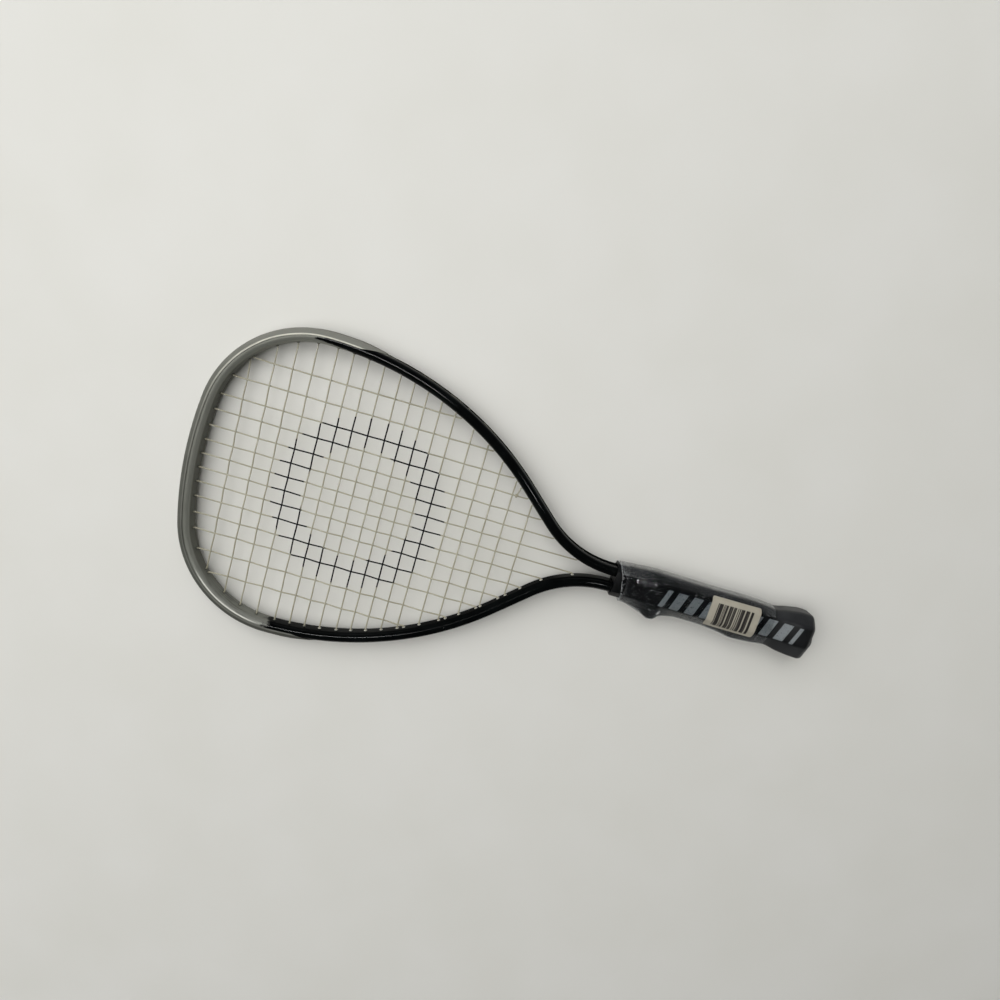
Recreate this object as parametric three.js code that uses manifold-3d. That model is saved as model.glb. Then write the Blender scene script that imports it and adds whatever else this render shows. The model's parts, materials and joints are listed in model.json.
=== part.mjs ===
// A racquetball racket lying flat, string bed in the XY plane.
// +X runs from the head's tip to the butt, +Z is the face that the player sees first.
// The origin is the middle of the box around the racket.
import * as THREE from "three";
import { mergeVertices } from "three/addons/utils/BufferGeometryUtils.js";
import Module from "manifold-3d";

const wasm = await Module();
wasm.setup();

// Whole racket, millimetres
const overallLength = 559;
const seatGap = 0.3; // between pieces that touch on the real racket
const cutOverrun = 2;

// Frame tube: one aluminium tube bent to a teardrop, groove on its outer side
const tubeWidth = 9.4;
const tubeDepth = 16.6;
const tubeCorner = 3.2;
const tubeWall = 1.2;
const grooveDepth = 3;
const grooveFloorWidth = 7.2;
const grooveLipWidth = 8.4;
const tipRadius = 322.2;
const tipTurn = 9.7; // degrees
const cornerRadius = 87.6;
const cornerTurn = 79.9;
const sideRadius = 276.1;
const sideTurn = 42.5;
const throatRadius = 93.5;
const shankSpacing = 14.4; // between the centrelines of the two shanks in the handle
const arcSteps = { tip: 2, corner: 10, side: 7, flank: 1, throat: 6, shank: 2 };

// Bumper guard and grommet strips
const guardProud = 2;
const guardLip = 3.4; // how far the guard wraps onto each face
const guardLipThick = 0.6;
const guardFaceThick = 0.7;
const guardCornerShare = 0.47; // of the lip's own length, where it passes the tube's corner
const guardMidShare = 0.8;
const guardEndShare = 0.18; // of the full section, left at its tips
const guardEnd = 140.4; // from the tip, along the racket
const guardTaper = 26;
const stripThick = 0.6;
const stripTail = 9; // past the last string hole
const barrelRadius = 1.3;
const barrelBore = 1;
const barrelProud = 0.6;
const barrelSides = 6;
const holeHalfWidth = 1.6;
const holePitch = 4.1; // least distance between two holes along the tube

// Strings: half the mains as shares of the head's half width, crosses as shares of tip to throat
const stringDiameter = 1.3;
const stringSides = 5;
const weaveGap = 0.3;
const mainPlaceShares = [0.0482, 0.146, 0.2474, 0.3593, 0.4676, 0.6031, 0.7486];
const crossPlaceShares = [
  0.0967, 0.1476, 0.1895, 0.2313, 0.2754, 0.3113, 0.3466, 0.3822, 0.4212, 0.4544, 0.4881, 0.5231, 0.5585,
  0.6058, 0.647, 0.6882, 0.7299, 0.7792,
];
const mouthClear = 0.9; // from a barrel's mouth to the bend of its string
const loopLead = 2.4;
const loopStep = 16;
const loopOffset = 1.6; // of the outside loops from the string plane
const knotRadius = 1.05;
const knotDetail = 1;
const tieKnotRadius = 1.9;
const tieKnotLength = 3;
const tieKnotLead = 2.2; // from the crossing before it
const knotSides = 8;
const tieMainIndex = 3; // the main that carries it, counted from +Y

// Handle core
const collarLead = 3.2; // from where the shanks run parallel to the collar
const shankReachShare = 0.614; // of the grip's length
const collarWall = 2.6;
const collarCorner = 5.5;
const collarReveal = 10.5;
const collarTail = 9;
const collarTailStep = 1.3;
const palletWallSide = 1;
const palletWallFace = 2;
const palletChamfer = 4.6;
const palletEndWall = 6;
const palletScrewRadius = 1.2;
const palletScrewHead = 2.4;
const palletScrewHeadDepth = 1.4;
const palletScrewLength = 16;
const palletScrewPlaceShares = [0.16, 0.5, 0.84];

// Grip sleeve, shrink film and label
const gripHalfWidth = 16.5;
const gripHalfDepth = 13;
const gripFlatShare = 0.55;
const gripSideShare = 0.5;
const gripEndWall = 4;
const filmThick = 0.3;
const filmBareCount = 5; // grip stations that it leaves bare at the butt
const filmFrontStep = 0.8; // of the collar left bare in front of its upper side
const filmOpacityShare = 0.25;
const labelLength = 44;
const labelPlaceShare = 0.436; // of the grip's length, to the label's front edge
const labelThick = 0.25;
const labelReachShare = 0.42; // of the bevels that the label covers
const buttInsertReachShare = 0.805; // of the grip's length
const buttInsertStep = 0.8; // narrower than the pallets all round
const lanyardPlugRadius = 7.3;
const lanyardPlugProud = 2.6;
const lanyardRimShare = 0.8;
const lanyardPlugDepth = 6.5;
const lanyardBore = 2;
const lanyardPlace = -6.6;
const plugSides = 16;

// Grip outline: place along the grip, then half widths to +Y and to -Y and half depth
const gripShares = [
  [0, 0.93, 0.98, 0.93],
  [0.03, 0.95, 1.05, 0.95],
  [0.07, 0.98, 1.13, 0.97],
  [0.1, 1, 1.21, 0.98],
  [0.14, 1.03, 1.44, 0.99],
  [0.165, 1.03, 1.53, 1],
  [0.188, 1.03, 1.5, 1],
  [0.215, 1.02, 1.26, 1],
  [0.25, 1.01, 1.13, 1],
  [0.31, 1, 1.04, 1.01],
  [0.42, 0.98, 1.06, 1.01],
  [0.5, 0.97, 1.13, 1.01],
  [0.55, 0.975, 1.2, 1.01],
  [0.61, 0.98, 1.3, 1],
  [0.7, 0.95, 1.25, 0.98],
  [0.78, 0.88, 1.17, 0.97],
  [0.855, 1.02, 1.31, 1.07],
  [0.93, 1.12, 1.38, 1.2],
  [0.965, 1.1, 1.4, 1.2],
  [0.987, 0.9, 1.37, 1.05],
  [1, 0.58, 1.23, 0.74],
];
const bumpIndex = 5; // the finger rest's peak in the list above

// Derived sizes
const degree = Math.PI / 180;
const halfTube = tubeWidth / 2;
const halfDepth = tubeDepth / 2;
const stringRadius = stringDiameter / 2;
const weaveLift = (stringDiameter + weaveGap) / 2;
const stripFloor = halfTube - grooveDepth + seatGap + stripThick;
const loopLevel = stripFloor + seatGap + stringRadius;
const mouthLevel = -(halfTube + barrelProud);
const bendLevel = mouthLevel - mouthClear;
const tipCentre = guardProud + halfTube;
const flankAngle = (tipTurn + cornerTurn + sideTurn) * degree - Math.PI / 2;

// Colours and finishes
const finish = (color, roughness, metalness = 0) =>
  new THREE.MeshStandardMaterial({ color, roughness, metalness });
const frameFinish = finish(0x0b0c0d, 0.22, 0.3);
const guardFinish = finish(0x55564d, 0.6);
const nylonFinish = finish(0x8d8c86, 0.5);
const stringFinish = finish(0xd8d3bb, 0.35);
const collarFinish = finish(0x0d0e0f, 0.45);
const palletFinish = finish(0x3a3a3c, 0.7);
const gripFinish = finish(0x121314, 0.65);
const steelFinish = finish(0x9a9c9e, 0.35, 1);
const filmFinish = finish(0xc8ccce, 0.12);
filmFinish.transparent = true;
filmFinish.opacity = filmOpacityShare;
const labelFinish = finish(0xc9c2a8, 0.7);

// Geometry helpers

// Joins equal rings of points into one closed surface; each ring runs anticlockwise seen from the far end.
function loft(rings, section) {
  const size = rings[0].length;
  const positions = rings.flat().flatMap((p) => [p.x, p.y, p.z]);
  const index = [];
  for (let k = 0; k + 1 < rings.length; k++)
    for (let i = 0; i < size; i++) {
      const a = k * size + i;
      const b = k * size + ((i + 1) % size);
      index.push(a, b, b + size, a, b + size, a + size);
    }
  const last = (rings.length - 1) * size;
  for (const [a, b, c] of THREE.ShapeUtils.triangulateShape(section, [])) {
    index.push(a, c, b);
    index.push(last + a, last + b, last + c);
  }
  const geometry = new THREE.BufferGeometry();
  geometry.setAttribute("position", new THREE.Float32BufferAttribute(positions, 3));
  geometry.setIndex(index);
  return geometry;
}

function solidFrom(geometry) {
  const bare = geometry.clone();
  bare.deleteAttribute("normal");
  bare.deleteAttribute("uv");
  const merged = mergeVertices(bare);
  return new wasm.Manifold(
    new wasm.Mesh({
      numProp: 3,
      vertProperties: new Float32Array(merged.getAttribute("position").array),
      triVerts: new Uint32Array(merged.index.array),
    }),
  );
}

function geometryFrom(solid) {
  const made = solid.getMesh();
  const geometry = new THREE.BufferGeometry();
  geometry.setAttribute("position", new THREE.BufferAttribute(made.vertProperties, 3));
  geometry.setIndex(new THREE.BufferAttribute(made.triVerts, 1));
  return geometry;
}

// Joins and cuts by halves, which keeps long lists quick.
function joined(solids) {
  if (solids.length === 1) return solids[0];
  const middle = solids.length >> 1;
  return joined(solids.slice(0, middle)).add(joined(solids.slice(middle)));
}

const polygon = (points) => points.map(([u, v]) => new THREE.Vector2(u, v));

const circlePoints = (radius, sides) =>
  Array.from({ length: sides }, (_, i) => {
    const angle = (2 * Math.PI * i) / sides;
    return [radius * Math.cos(angle), radius * Math.sin(angle)];
  });

// A straight prism along X from the given (y, z) outline.
function prismX(points, x0, x1, y = 0, z = 0) {
  const ring = (x) => points.map(([u, v]) => new THREE.Vector3(x, y + u, z + v));
  return solidFrom(loft([ring(x0), ring(x1)], polygon(points)));
}

function box(x0, x1, y0, y1, z0, z1) {
  const geometry = new THREE.BoxGeometry(x1 - x0, y1 - y0, z1 - z0);
  geometry.translate((x0 + x1) / 2, (y0 + y1) / 2, (z0 + z1) / 2);
  return solidFrom(geometry);
}

// The centreline of the tube: tangent arcs and runs from the tip towards the handle

const turnSteps = [
  { radius: tipRadius, turn: tipTurn * degree, steps: arcSteps.tip },
  { radius: cornerRadius, turn: cornerTurn * degree, steps: arcSteps.corner },
  { radius: sideRadius, turn: sideTurn * degree, steps: arcSteps.side },
];

function followLegs(legs) {
  let place = { x: tipCentre, y: 0, heading: Math.PI / 2, s: 0 };
  const starts = [place];
  for (const leg of legs) {
    place = alongLeg(place, leg, legLength(leg));
    starts.push(place);
  }
  return starts;
}

function legLength(leg) {
  return leg.run ?? Math.abs(leg.turn) * leg.radius;
}

function alongLeg(from, leg, distance) {
  const s = from.s + distance;
  if (leg.run !== undefined)
    return {
      x: from.x + distance * Math.cos(from.heading),
      y: from.y + distance * Math.sin(from.heading),
      heading: from.heading,
      s,
    };
  const side = Math.sign(leg.turn);
  const heading = from.heading - (side * distance) / leg.radius;
  return {
    x: from.x + side * leg.radius * (Math.sin(from.heading) - Math.sin(heading)),
    y: from.y - side * leg.radius * (Math.cos(from.heading) - Math.cos(heading)),
    heading,
    s,
  };
}

const flankStart = followLegs(turnSteps).at(-1);
const throatDrop = throatRadius * (1 - Math.cos(flankAngle));
const flankRun = (flankStart.y - shankSpacing / 2 - throatDrop) / Math.sin(flankAngle);
const loopLegs = [
  ...turnSteps,
  { run: flankRun, steps: arcSteps.flank },
  { radius: throatRadius, turn: -flankAngle, steps: arcSteps.throat },
];
const parallelAt = followLegs(loopLegs).at(-1);

// Handle: places along the racket
const collarStart = parallelAt.x + collarLead;
const gripStart = collarStart + collarReveal;
const gripEnd = overallLength - lanyardPlugProud;
const gripLength = gripEnd - gripStart;
const shankEnd = gripStart + shankReachShare * gripLength;

const pathLegs = [...loopLegs, { run: shankEnd - parallelAt.x, steps: arcSteps.shank }];
const legStarts = followLegs(pathLegs);
const widestAt = legStarts[2].s;
const pathEnd = legStarts.at(-1).s;

// A place on the centreline, with the outward normal; negative distances are the -Y side.
function pathAt(distance) {
  const s = Math.abs(distance);
  let leg = 0;
  while (leg + 1 < pathLegs.length && s > legStarts[leg + 1].s) leg++;
  const here = alongLeg(legStarts[leg], pathLegs[leg], s - legStarts[leg].s);
  const side = distance < 0 ? -1 : 1;
  return {
    point: new THREE.Vector3(here.x, side * here.y, 0),
    out: new THREE.Vector3(-Math.sin(here.heading), side * Math.cos(here.heading), 0),
  };
}

// A point beside the tube: level is outwards from the centreline, z is above the string plane.
function beside(distance, level, z = 0) {
  const { point, out } = pathAt(distance);
  return point.addScaledVector(out, level).setZ(z);
}

// Ring places between two distances, at the joints of the arcs and at their even steps.
function stationsBetween(from, to) {
  const half = pathLegs.flatMap((leg, i) =>
    Array.from({ length: leg.steps }, (_, k) => legStarts[i].s + (legLength(leg) * k) / leg.steps),
  );
  half.push(pathEnd);
  const all = [...half.slice(1).map((s) => -s).reverse(), ...half];
  return [from, ...all.filter((s) => s > from + cutOverrun && s < to - cutOverrun), to];
}

function sweepAlongFrame(sectionAt, from, to) {
  const rings = stationsBetween(from, to).map((s) => sectionAt(s).map(([level, z]) => beside(s, level, z)));
  return solidFrom(loft(rings, polygon(sectionAt(from))));
}

// The place where the inner bend line of the strings reaches a given x or y
function solvePlace(measure, target, low, high) {
  const rising = measure(high) > measure(low);
  for (let i = 0; i < 50; i++) {
    const middle = (low + high) / 2;
    if (measure(middle) < target === rising) low = middle;
    else high = middle;
  }
  return (low + high) / 2;
}

// Where each string end meets the tube, on the +Y side; the -Y side mirrors it

const headHalfWidth = beside(widestAt, 0).y;
const mainPlaces = mainPlaceShares.map((share) => share * headHalfWidth);
const crossPlaces = crossPlaceShares.map((share) => share * parallelAt.x);
const bendX = (s) => beside(s, bendLevel).x;
const bendY = (s) => beside(s, bendLevel).y;

const stringEnds = [
  ...mainPlaces.map((y, i) => ({ key: "tip" + i, s: solvePlace(bendY, y, 0, widestAt) })),
  ...crossPlaces.map((x, j) => ({ key: "cross" + j, s: solvePlace(bendX, x, 0, parallelAt.s) })),
  ...mainPlaces.map((y, i) => ({ key: "throat" + i, s: solvePlace(bendY, y, widestAt, parallelAt.s) })),
];
const endS = (key) => stringEnds.find((end) => end.key === key).s;
stringEnds.push({ key: "tie", s: (endS("throat4") + endS("throat3")) / 2 });
spaceApart(stringEnds, holePitch);
const tieAt = endS("tie");

// Moves neighbours that are closer than the pitch apart by equal amounts.
function spaceApart(ends, pitch) {
  ends.sort((a, b) => a.s - b.s);
  for (let pass = 0; pass < 40; pass++)
    for (let i = 0; i + 1 < ends.length; i++) {
      const short = pitch - (ends[i + 1].s - ends[i].s);
      if (short <= 0) continue;
      ends[i].s -= short / 2;
      ends[i + 1].s += short / 2;
    }
}

// Frame tube

function frameSection() {
  const bevel = tubeCorner * (1 - Math.SQRT1_2);
  const upper = [
    [halfTube - grooveDepth, grooveFloorWidth / 2],
    [halfTube, grooveLipWidth / 2],
    [halfTube, halfDepth - tubeCorner],
    [halfTube - bevel, halfDepth - bevel],
    [halfTube - tubeCorner, halfDepth],
    [tubeCorner - halfTube, halfDepth],
    [bevel - halfTube, halfDepth - bevel],
    [-halfTube, halfDepth - tubeCorner],
  ];
  return mirrored(upper);
}

// Completes an outline whose first half lies above the string plane.
function mirrored(upper) {
  return [...upper, ...upper.map(([u, v]) => [u, -v]).reverse()];
}

function frameVoid() {
  const inner = tubeWall - halfTube;
  const outer = halfTube - grooveDepth - tubeWall;
  const top = halfDepth - tubeWall;
  const cut = tubeWall;
  return mirrored([
    [outer, top - cut],
    [outer - cut, top],
    [inner + cut, top],
    [inner, top - cut],
  ]);
}

// Every hole: the +Y ends, their mirror images, and the one tie-off hole
const holePlaces = stringEnds.flatMap((end) => (end.key === "tie" ? [end.s] : [end.s, -end.s]));

// A straight prism across the tube at a place, between two levels.
function across(distance, points, low, high) {
  const { point, out } = pathAt(distance);
  const along = new THREE.Vector3(0, 0, 1).cross(out);
  const ring = (level) =>
    points.map(([u, v]) => point.clone().addScaledVector(out, level).addScaledVector(along, u).setZ(v));
  return solidFrom(loft([ring(low), ring(high)], polygon(points)));
}

function frameTube() {
  const skin = sweepAlongFrame(frameSection, -pathEnd, pathEnd);
  const hollow = sweepAlongFrame(frameVoid, -pathEnd - cutOverrun, pathEnd + cutOverrun);
  const h = holeHalfWidth;
  const square = [
    [-h, -h],
    [h, -h],
    [h, h],
    [-h, h],
  ];
  const reach = halfTube + cutOverrun;
  const holes = holePlaces.map((s) => across(s, square, -reach, reach));
  return skin.subtract(hollow).subtract(joined(holes));
}

// Bumper guard and grommet strips, with a barrel in each hole

function stripSection() {
  const half = grooveFloorWidth / 2 - seatGap;
  return mirrored([
    [stripFloor - stripThick, half],
    [stripFloor, half],
  ]).reverse();
}

// The guard's inner face follows the tube from the groove's lip round to the end of its own lip.
const guardRail = (() => {
  const bevel = tubeCorner * (1 - Math.SQRT1_2);
  return [
    [halfTube + seatGap, halfDepth - tubeCorner + seatGap / 2],
    [halfTube - bevel + seatGap, halfDepth - bevel + seatGap],
    [halfTube - guardLip, halfDepth + seatGap],
  ];
})();

function alongRail(share) {
  const [a, b, c] = guardRail;
  const first = Math.hypot(b[0] - a[0], b[1] - a[1]);
  const second = Math.hypot(c[0] - b[0], c[1] - b[1]);
  const distance = share * (first + second);
  const [from, to, t] = distance < first ? [a, b, distance / first] : [b, c, (distance - first) / second];
  return from.map((v, k) => v + (to[k] - v) * t);
}

// full is 1 on the guard's body and least at its tapered ends.
function guardSection(full) {
  const baseHalf = grooveFloorWidth / 2 - seatGap;
  const lipHalf = grooveLipWidth / 2 - seatGap;
  const [edge, corner] = guardRail;
  const cornerShare = guardCornerShare * Math.min(1, full / guardCornerShare);
  const end = alongRail(full);
  const mid = full > guardCornerShare ? corner : alongRail(cornerShare * guardMidShare);
  const ridge = guardProud - seatGap;
  const off = ([level, z], dl, dz) => [level + dl * full, z + dz * full];
  const groove = [edge[0], lipHalf];
  return mirrored([
    [stripFloor, baseHalf - seatGap],
    off(groove, ridge, -guardLipThick),
    off(edge, ridge, 0),
    off(mid, ridge * guardMidShare, guardLipThick / 2),
    off(end, guardLip / 2, guardFaceThick),
    off(end, 0, guardLipThick),
    end,
    mid,
    edge,
    groove,
    [stripFloor - stripThick, baseHalf],
  ]);
}

const guardStop = solvePlace((s) => beside(s, 0).x, guardEnd, 0, parallelAt.s);

function guardAt(distance) {
  const left = guardStop - Math.abs(distance);
  return guardSection(guardEndShare + (1 - guardEndShare) * Math.min(1, left / guardTaper));
}

// Adds a barrel at each place to a strip and bores it through.
function withBarrels(strip, places) {
  const outside = circlePoints(barrelRadius, barrelSides);
  const bore = circlePoints(barrelBore, barrelSides);
  const barrels = places.map((s) => across(s, outside, mouthLevel, stripFloor - stripThick / 2));
  const bores = places.map((s) => across(s, bore, mouthLevel - cutOverrun, stripFloor + cutOverrun));
  return strip.add(joined(barrels)).subtract(joined(bores));
}

const inGuard = (s) => Math.abs(s) < guardStop;
const stripStop = endS("throat0") + stripTail;

function bumperGuard() {
  const rings = [guardStop - guardTaper, ...stationsBetween(-guardStop, guardStop), guardTaper - guardStop]
    .sort((a, b) => a - b)
    .filter((s, i, list) => !i || s - list[i - 1] > cutOverrun);
  const shell = loft(
    rings.map((s) => guardAt(s).map(([level, z]) => beside(s, level, z))),
    polygon(guardAt(-guardStop)),
  );
  return withBarrels(solidFrom(shell), holePlaces.filter(inGuard));
}

function grommetStrip(side) {
  const ends = [side * (guardStop + seatGap), side * stripStop].sort((a, b) => a - b);
  const places = holePlaces.filter((s) => s * side > 0 && !inGuard(s));
  return withBarrels(sweepAlongFrame(stripSection, ...ends), places);
}

// Strings

// A round cord through the points, with mitred bends, as one closed tube.
function cord(points, radius, sides) {
  const count = points.length;
  const dirs = points.slice(1).map((p, i) => p.clone().sub(points[i]).normalize());
  const first = dirs[0];
  let up = new THREE.Vector3(0, 0, 1);
  if (Math.abs(first.dot(up)) > 0.9) up = new THREE.Vector3(1, 0, 0);
  up.addScaledVector(first, -up.dot(first)).normalize();
  const outline = circlePoints(radius, sides);
  const rings = points.map((point, k) => {
    const before = dirs[Math.max(0, k - 1)];
    const after = dirs[Math.min(count - 2, k)];
    const side = new THREE.Vector3().crossVectors(up, before).normalize();
    const mitre = before.clone().add(after).normalize();
    const ring = outline.map(([u, v]) => {
      const offset = up.clone().multiplyScalar(v).addScaledVector(side, u);
      return point.clone().add(offset.addScaledVector(before, -offset.dot(mitre) / before.dot(mitre)));
    });
    const turn = new THREE.Quaternion().setFromUnitVectors(before, after);
    up = up.clone().applyQuaternion(turn).normalize();
    return ring;
  });
  return loft(rings, polygon(outline));
}

const mainCount = 2 * mainPlaces.length;
// Mains are numbered from +Y to -Y; each has its share of the +Y list and a side
const mainInfo = (i) => {
  const upper = i < mainPlaces.length;
  const slot = upper ? mainPlaces.length - 1 - i : i - mainPlaces.length;
  return { side: upper ? 1 : -1, slot, y: (upper ? 1 : -1) * mainPlaces[slot] };
};
const mainEnd = (i, name) => {
  const { side, slot } = mainInfo(i);
  return side * endS(name + slot);
};
const crossEnd = (j, side) => side * endS("cross" + j);

// Over and under, by turns
const liftAt = (i, j) => ((i + j) % 2 ? weaveLift : -weaveLift);

const inside = (s) => beside(s, bendLevel);
const outside = (s) => beside(s, loopLevel);
const cordEnd = (s) => beside(s, stripFloor);

// A main and a cross meet where both run clear of their bends.
function crossingsOfMain(i) {
  const { y } = mainInfo(i);
  const low = inside(mainEnd(i, "tip")).x;
  const high = inside(mainEnd(i, "throat")).x;
  return crossPlaces
    .map((x, j) => ({ x, y, i, j }))
    .filter(({ x, j }) => {
      const reach = inside(crossEnd(j, Math.sign(y))).y * Math.sign(y);
      return x > low + stringRadius && x < high - stringRadius && Math.abs(y) < reach - stringRadius;
    });
}

const crossings = Array.from({ length: mainCount }, (_, i) => crossingsOfMain(i)).flat();

// The outside loop between two holes, in the groove and to one side of the string plane
function outsideLoop(from, to, z) {
  const way = Math.sign(to - from);
  const lead = Math.min(loopLead, Math.abs(to - from) / 3);
  const start = from + way * lead;
  const span = to - way * lead - start;
  const steps = Math.max(1, Math.ceil(Math.abs(span) / loopStep));
  return Array.from({ length: steps + 1 }, (_, k) => beside(start + (span * k) / steps, loopLevel, z));
}

function mainRoute() {
  const route = [];
  for (let i = 0; i < mainCount; i++) {
    const toTip = i % 2 === 0;
    const start = mainEnd(i, toTip ? "throat" : "tip");
    const stop = mainEnd(i, toTip ? "tip" : "throat");
    const meets = crossings.filter((c) => c.i === i).sort((a, b) => (toTip ? b.x - a.x : a.x - b.x));
    route.push(i ? outside(start) : cordEnd(start), inside(start));
    route.push(...meets.map((c) => new THREE.Vector3(c.x, c.y, liftAt(c.i, c.j))));
    route.push(inside(stop));
    if (i + 1 < mainCount) {
      route.push(outside(stop));
      route.push(...outsideLoop(stop, mainEnd(i + 1, toTip ? "tip" : "throat"), loopOffset));
    } else route.push(cordEnd(stop));
  }
  return route;
}

function crossRoute() {
  const route = [];
  for (let j = 0; j < crossPlaces.length; j++) {
    const side = j % 2 === 0 ? 1 : -1;
    const start = crossEnd(j, side);
    const stop = crossEnd(j, -side);
    const meets = crossings.filter((c) => c.j === j).sort((a, b) => side * (b.y - a.y));
    route.push(j ? outside(start) : cordEnd(start), inside(start));
    route.push(...meets.map((c) => new THREE.Vector3(c.x, c.y, -liftAt(c.i, c.j))));
    route.push(inside(stop), outside(stop));
    const next = j + 1 < crossPlaces.length ? crossEnd(j + 1, -side) : tieAt;
    route.push(...outsideLoop(stop, next, -loopOffset));
  }
  const knot = tieKnotLine().centre;
  const mouth = inside(tieAt);
  const reach = mouth.clone().sub(knot).normalize();
  route.push(outside(tieAt), mouth, knot.addScaledVector(reach, tieKnotRadius + stringDiameter / 2));
  return route;
}

// The tie-off knot holds the cross string to a main, in its last stretch with room for it.
function tieKnotLine() {
  const mouth = inside(mainEnd(tieMainIndex, "throat"));
  const stops = crossings
    .filter((c) => c.i === tieMainIndex)
    .map((c) => new THREE.Vector3(c.x, c.y, liftAt(c.i, c.j)))
    .concat(mouth)
    .sort((p, q) => p.x - q.x);
  const need = tieKnotLength + 2 * tieKnotLead;
  const last = stops.findLastIndex((stop, k) => k && stop.x - stops[k - 1].x > need);
  const from = stops[last - 1];
  const along = stops[last].clone().sub(from).normalize();
  return { centre: from.clone().addScaledVector(along, tieKnotLead + tieKnotLength / 2), along };
}

function tieKnot() {
  const { centre, along } = tieKnotLine();
  const run = (radius, more) => {
    const half = tieKnotLength / 2 + more;
    const ends = [-half, half].map((reach) => centre.clone().addScaledVector(along, reach));
    return solidFrom(cord(ends, radius, knotSides));
  };
  return run(tieKnotRadius, 0).subtract(run(stringRadius + seatGap, cutOverrun));
}

// A stopper knot outside the hole where a string begins or ends
function stopperKnot(distance) {
  const geometry = new THREE.IcosahedronGeometry(knotRadius, knotDetail);
  const centre = beside(distance, stripFloor + seatGap + knotRadius);
  geometry.translate(centre.x, centre.y, centre.z);
  return solidFrom(geometry);
}

// Handle core
const tailEnd = gripStart + collarTail;
const palletStart = tailEnd + seatGap;
const palletEnd = shankEnd + palletEndWall;
const shankOuter = shankSpacing / 2 + halfTube;
const palletHalfWidth = shankOuter + seatGap + palletWallSide;
const palletHalfDepth = halfDepth + seatGap + palletWallFace;

const chamferedBox = (halfWidth, halfHeight, cut) => [
  [halfWidth, -halfHeight + cut],
  [halfWidth, halfHeight - cut],
  [halfWidth - cut, halfHeight],
  [-halfWidth + cut, halfHeight],
  [-halfWidth, halfHeight - cut],
  [-halfWidth, -halfHeight + cut],
  [-halfWidth + cut, -halfHeight],
  [halfWidth - cut, -halfHeight],
];

// The two channels that the shanks lie in; their cut corners clear the tube's rounded ones
const channelCut = 2 * tubeCorner * (1 - Math.SQRT1_2) + seatGap / 2;
function shankChannels(from, to) {
  const half = halfTube + seatGap;
  const deep = halfDepth + seatGap;
  return [1, -1].map((side) =>
    prismX(chamferedBox(half, deep, channelCut), from, to, (side * shankSpacing) / 2),
  );
}

const collarHalfWidth = shankOuter + collarWall;

function collar() {
  const halfWidth = collarHalfWidth;
  const halfHeight = halfDepth + collarWall;
  const shown = prismX(chamferedBox(halfWidth, halfHeight, collarCorner), collarStart, gripStart - seatGap);
  const tail = prismX(
    chamferedBox(halfWidth - collarTailStep, halfHeight - collarTailStep, tubeCorner),
    gripStart - cutOverrun,
    tailEnd,
  );
  const channels = shankChannels(collarStart - cutOverrun, tailEnd + cutOverrun);
  return shown.add(tail).subtract(joined(channels));
}

const palletScrewPlaces = palletScrewPlaceShares.map((share) => palletStart + share * (shankEnd - palletStart));

function palletHalf(side) {
  const body = prismX(chamferedBox(palletHalfWidth, palletHalfDepth, palletChamfer), palletStart, palletEnd);
  const reach = palletHalfWidth + cutOverrun;
  const split = (side * seatGap) / 2;
  const far = -side * (palletHalfDepth + cutOverrun);
  const away = box(
    palletStart - cutOverrun,
    palletEnd + cutOverrun,
    -reach,
    reach,
    Math.min(split, far),
    Math.max(split, far),
  );
  const channels = shankChannels(palletStart - cutOverrun, shankEnd + seatGap);
  const screws = palletScrewPlaces.map((x) => screwAt(x, seatGap));
  return body.subtract(away).subtract(joined(channels)).subtract(joined(screws));
}

// A countersunk screw from the front face of the core, grown by the given clearance
function screwAt(x, grow = 0) {
  const top = palletHalfDepth - (grow ? -cutOverrun : seatGap);
  const neck = palletHalfDepth - seatGap - palletScrewHeadDepth - grow;
  const tip = palletHalfDepth - palletScrewLength - grow;
  const profile = [
    [0, tip],
    [palletScrewRadius + grow, tip],
    [palletScrewRadius + grow, neck],
    [palletScrewHead + grow, neck + palletScrewHeadDepth / 2],
    [palletScrewHead + grow, top],
    [0, top],
  ];
  const geometry = new THREE.LatheGeometry(polygon(profile), 8);
  geometry.rotateX(Math.PI / 2);
  geometry.translate(x, 0, 0);
  return solidFrom(geometry);
}

// Grip: an octagon that swells to the butt and to the finger rest

const gripStations = gripShares.map(([place, plus, minus, deep]) => ({
  x: gripStart + place * gripLength,
  plus: plus * gripHalfWidth,
  minus: minus * gripHalfWidth,
  deep: deep * gripHalfDepth,
}));

function gripOutline({ plus, minus, deep }, grow = 0) {
  const flat = gripFlatShare * gripHalfWidth;
  const upper = (side, wide) => {
    const edge = Math.min(flat, wide * gripFlatShare);
    return [side * edge, deep + grow];
  };
  const sideHigh = gripSideShare * deep;
  return [
    [plus + grow, -sideHigh],
    [plus + grow, sideHigh],
    upper(1, plus),
    upper(-1, minus),
    [-minus - grow, sideHigh],
    [-minus - grow, -sideHigh],
    upper(-1, minus).map((v, k) => (k ? -v : v)),
    upper(1, plus).map((v, k) => (k ? -v : v)),
  ];
}

// A station with a slant leans its ring forward at the +Y side by that much
function handleLoft(stations, outlineOf) {
  const rings = stations.map((station) => {
    const { x, plus, minus, slant = 0 } = station;
    const leaned = (y) => x - (slant * (y + minus)) / (plus + minus);
    return outlineOf(station).map(([y, z]) => new THREE.Vector3(leaned(y), y, z));
  });
  return solidFrom(loft(rings, polygon(outlineOf(stations[0]))));
}

const boreHalfWidth = palletHalfWidth + seatGap;
const boreHalfDepth = palletHalfDepth + seatGap;
const buttInsertEnd = gripStart + buttInsertReachShare * gripLength;

const insertHalfWidth = palletHalfWidth - buttInsertStep;
const insertHalfDepth = palletHalfDepth - buttInsertStep;

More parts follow.
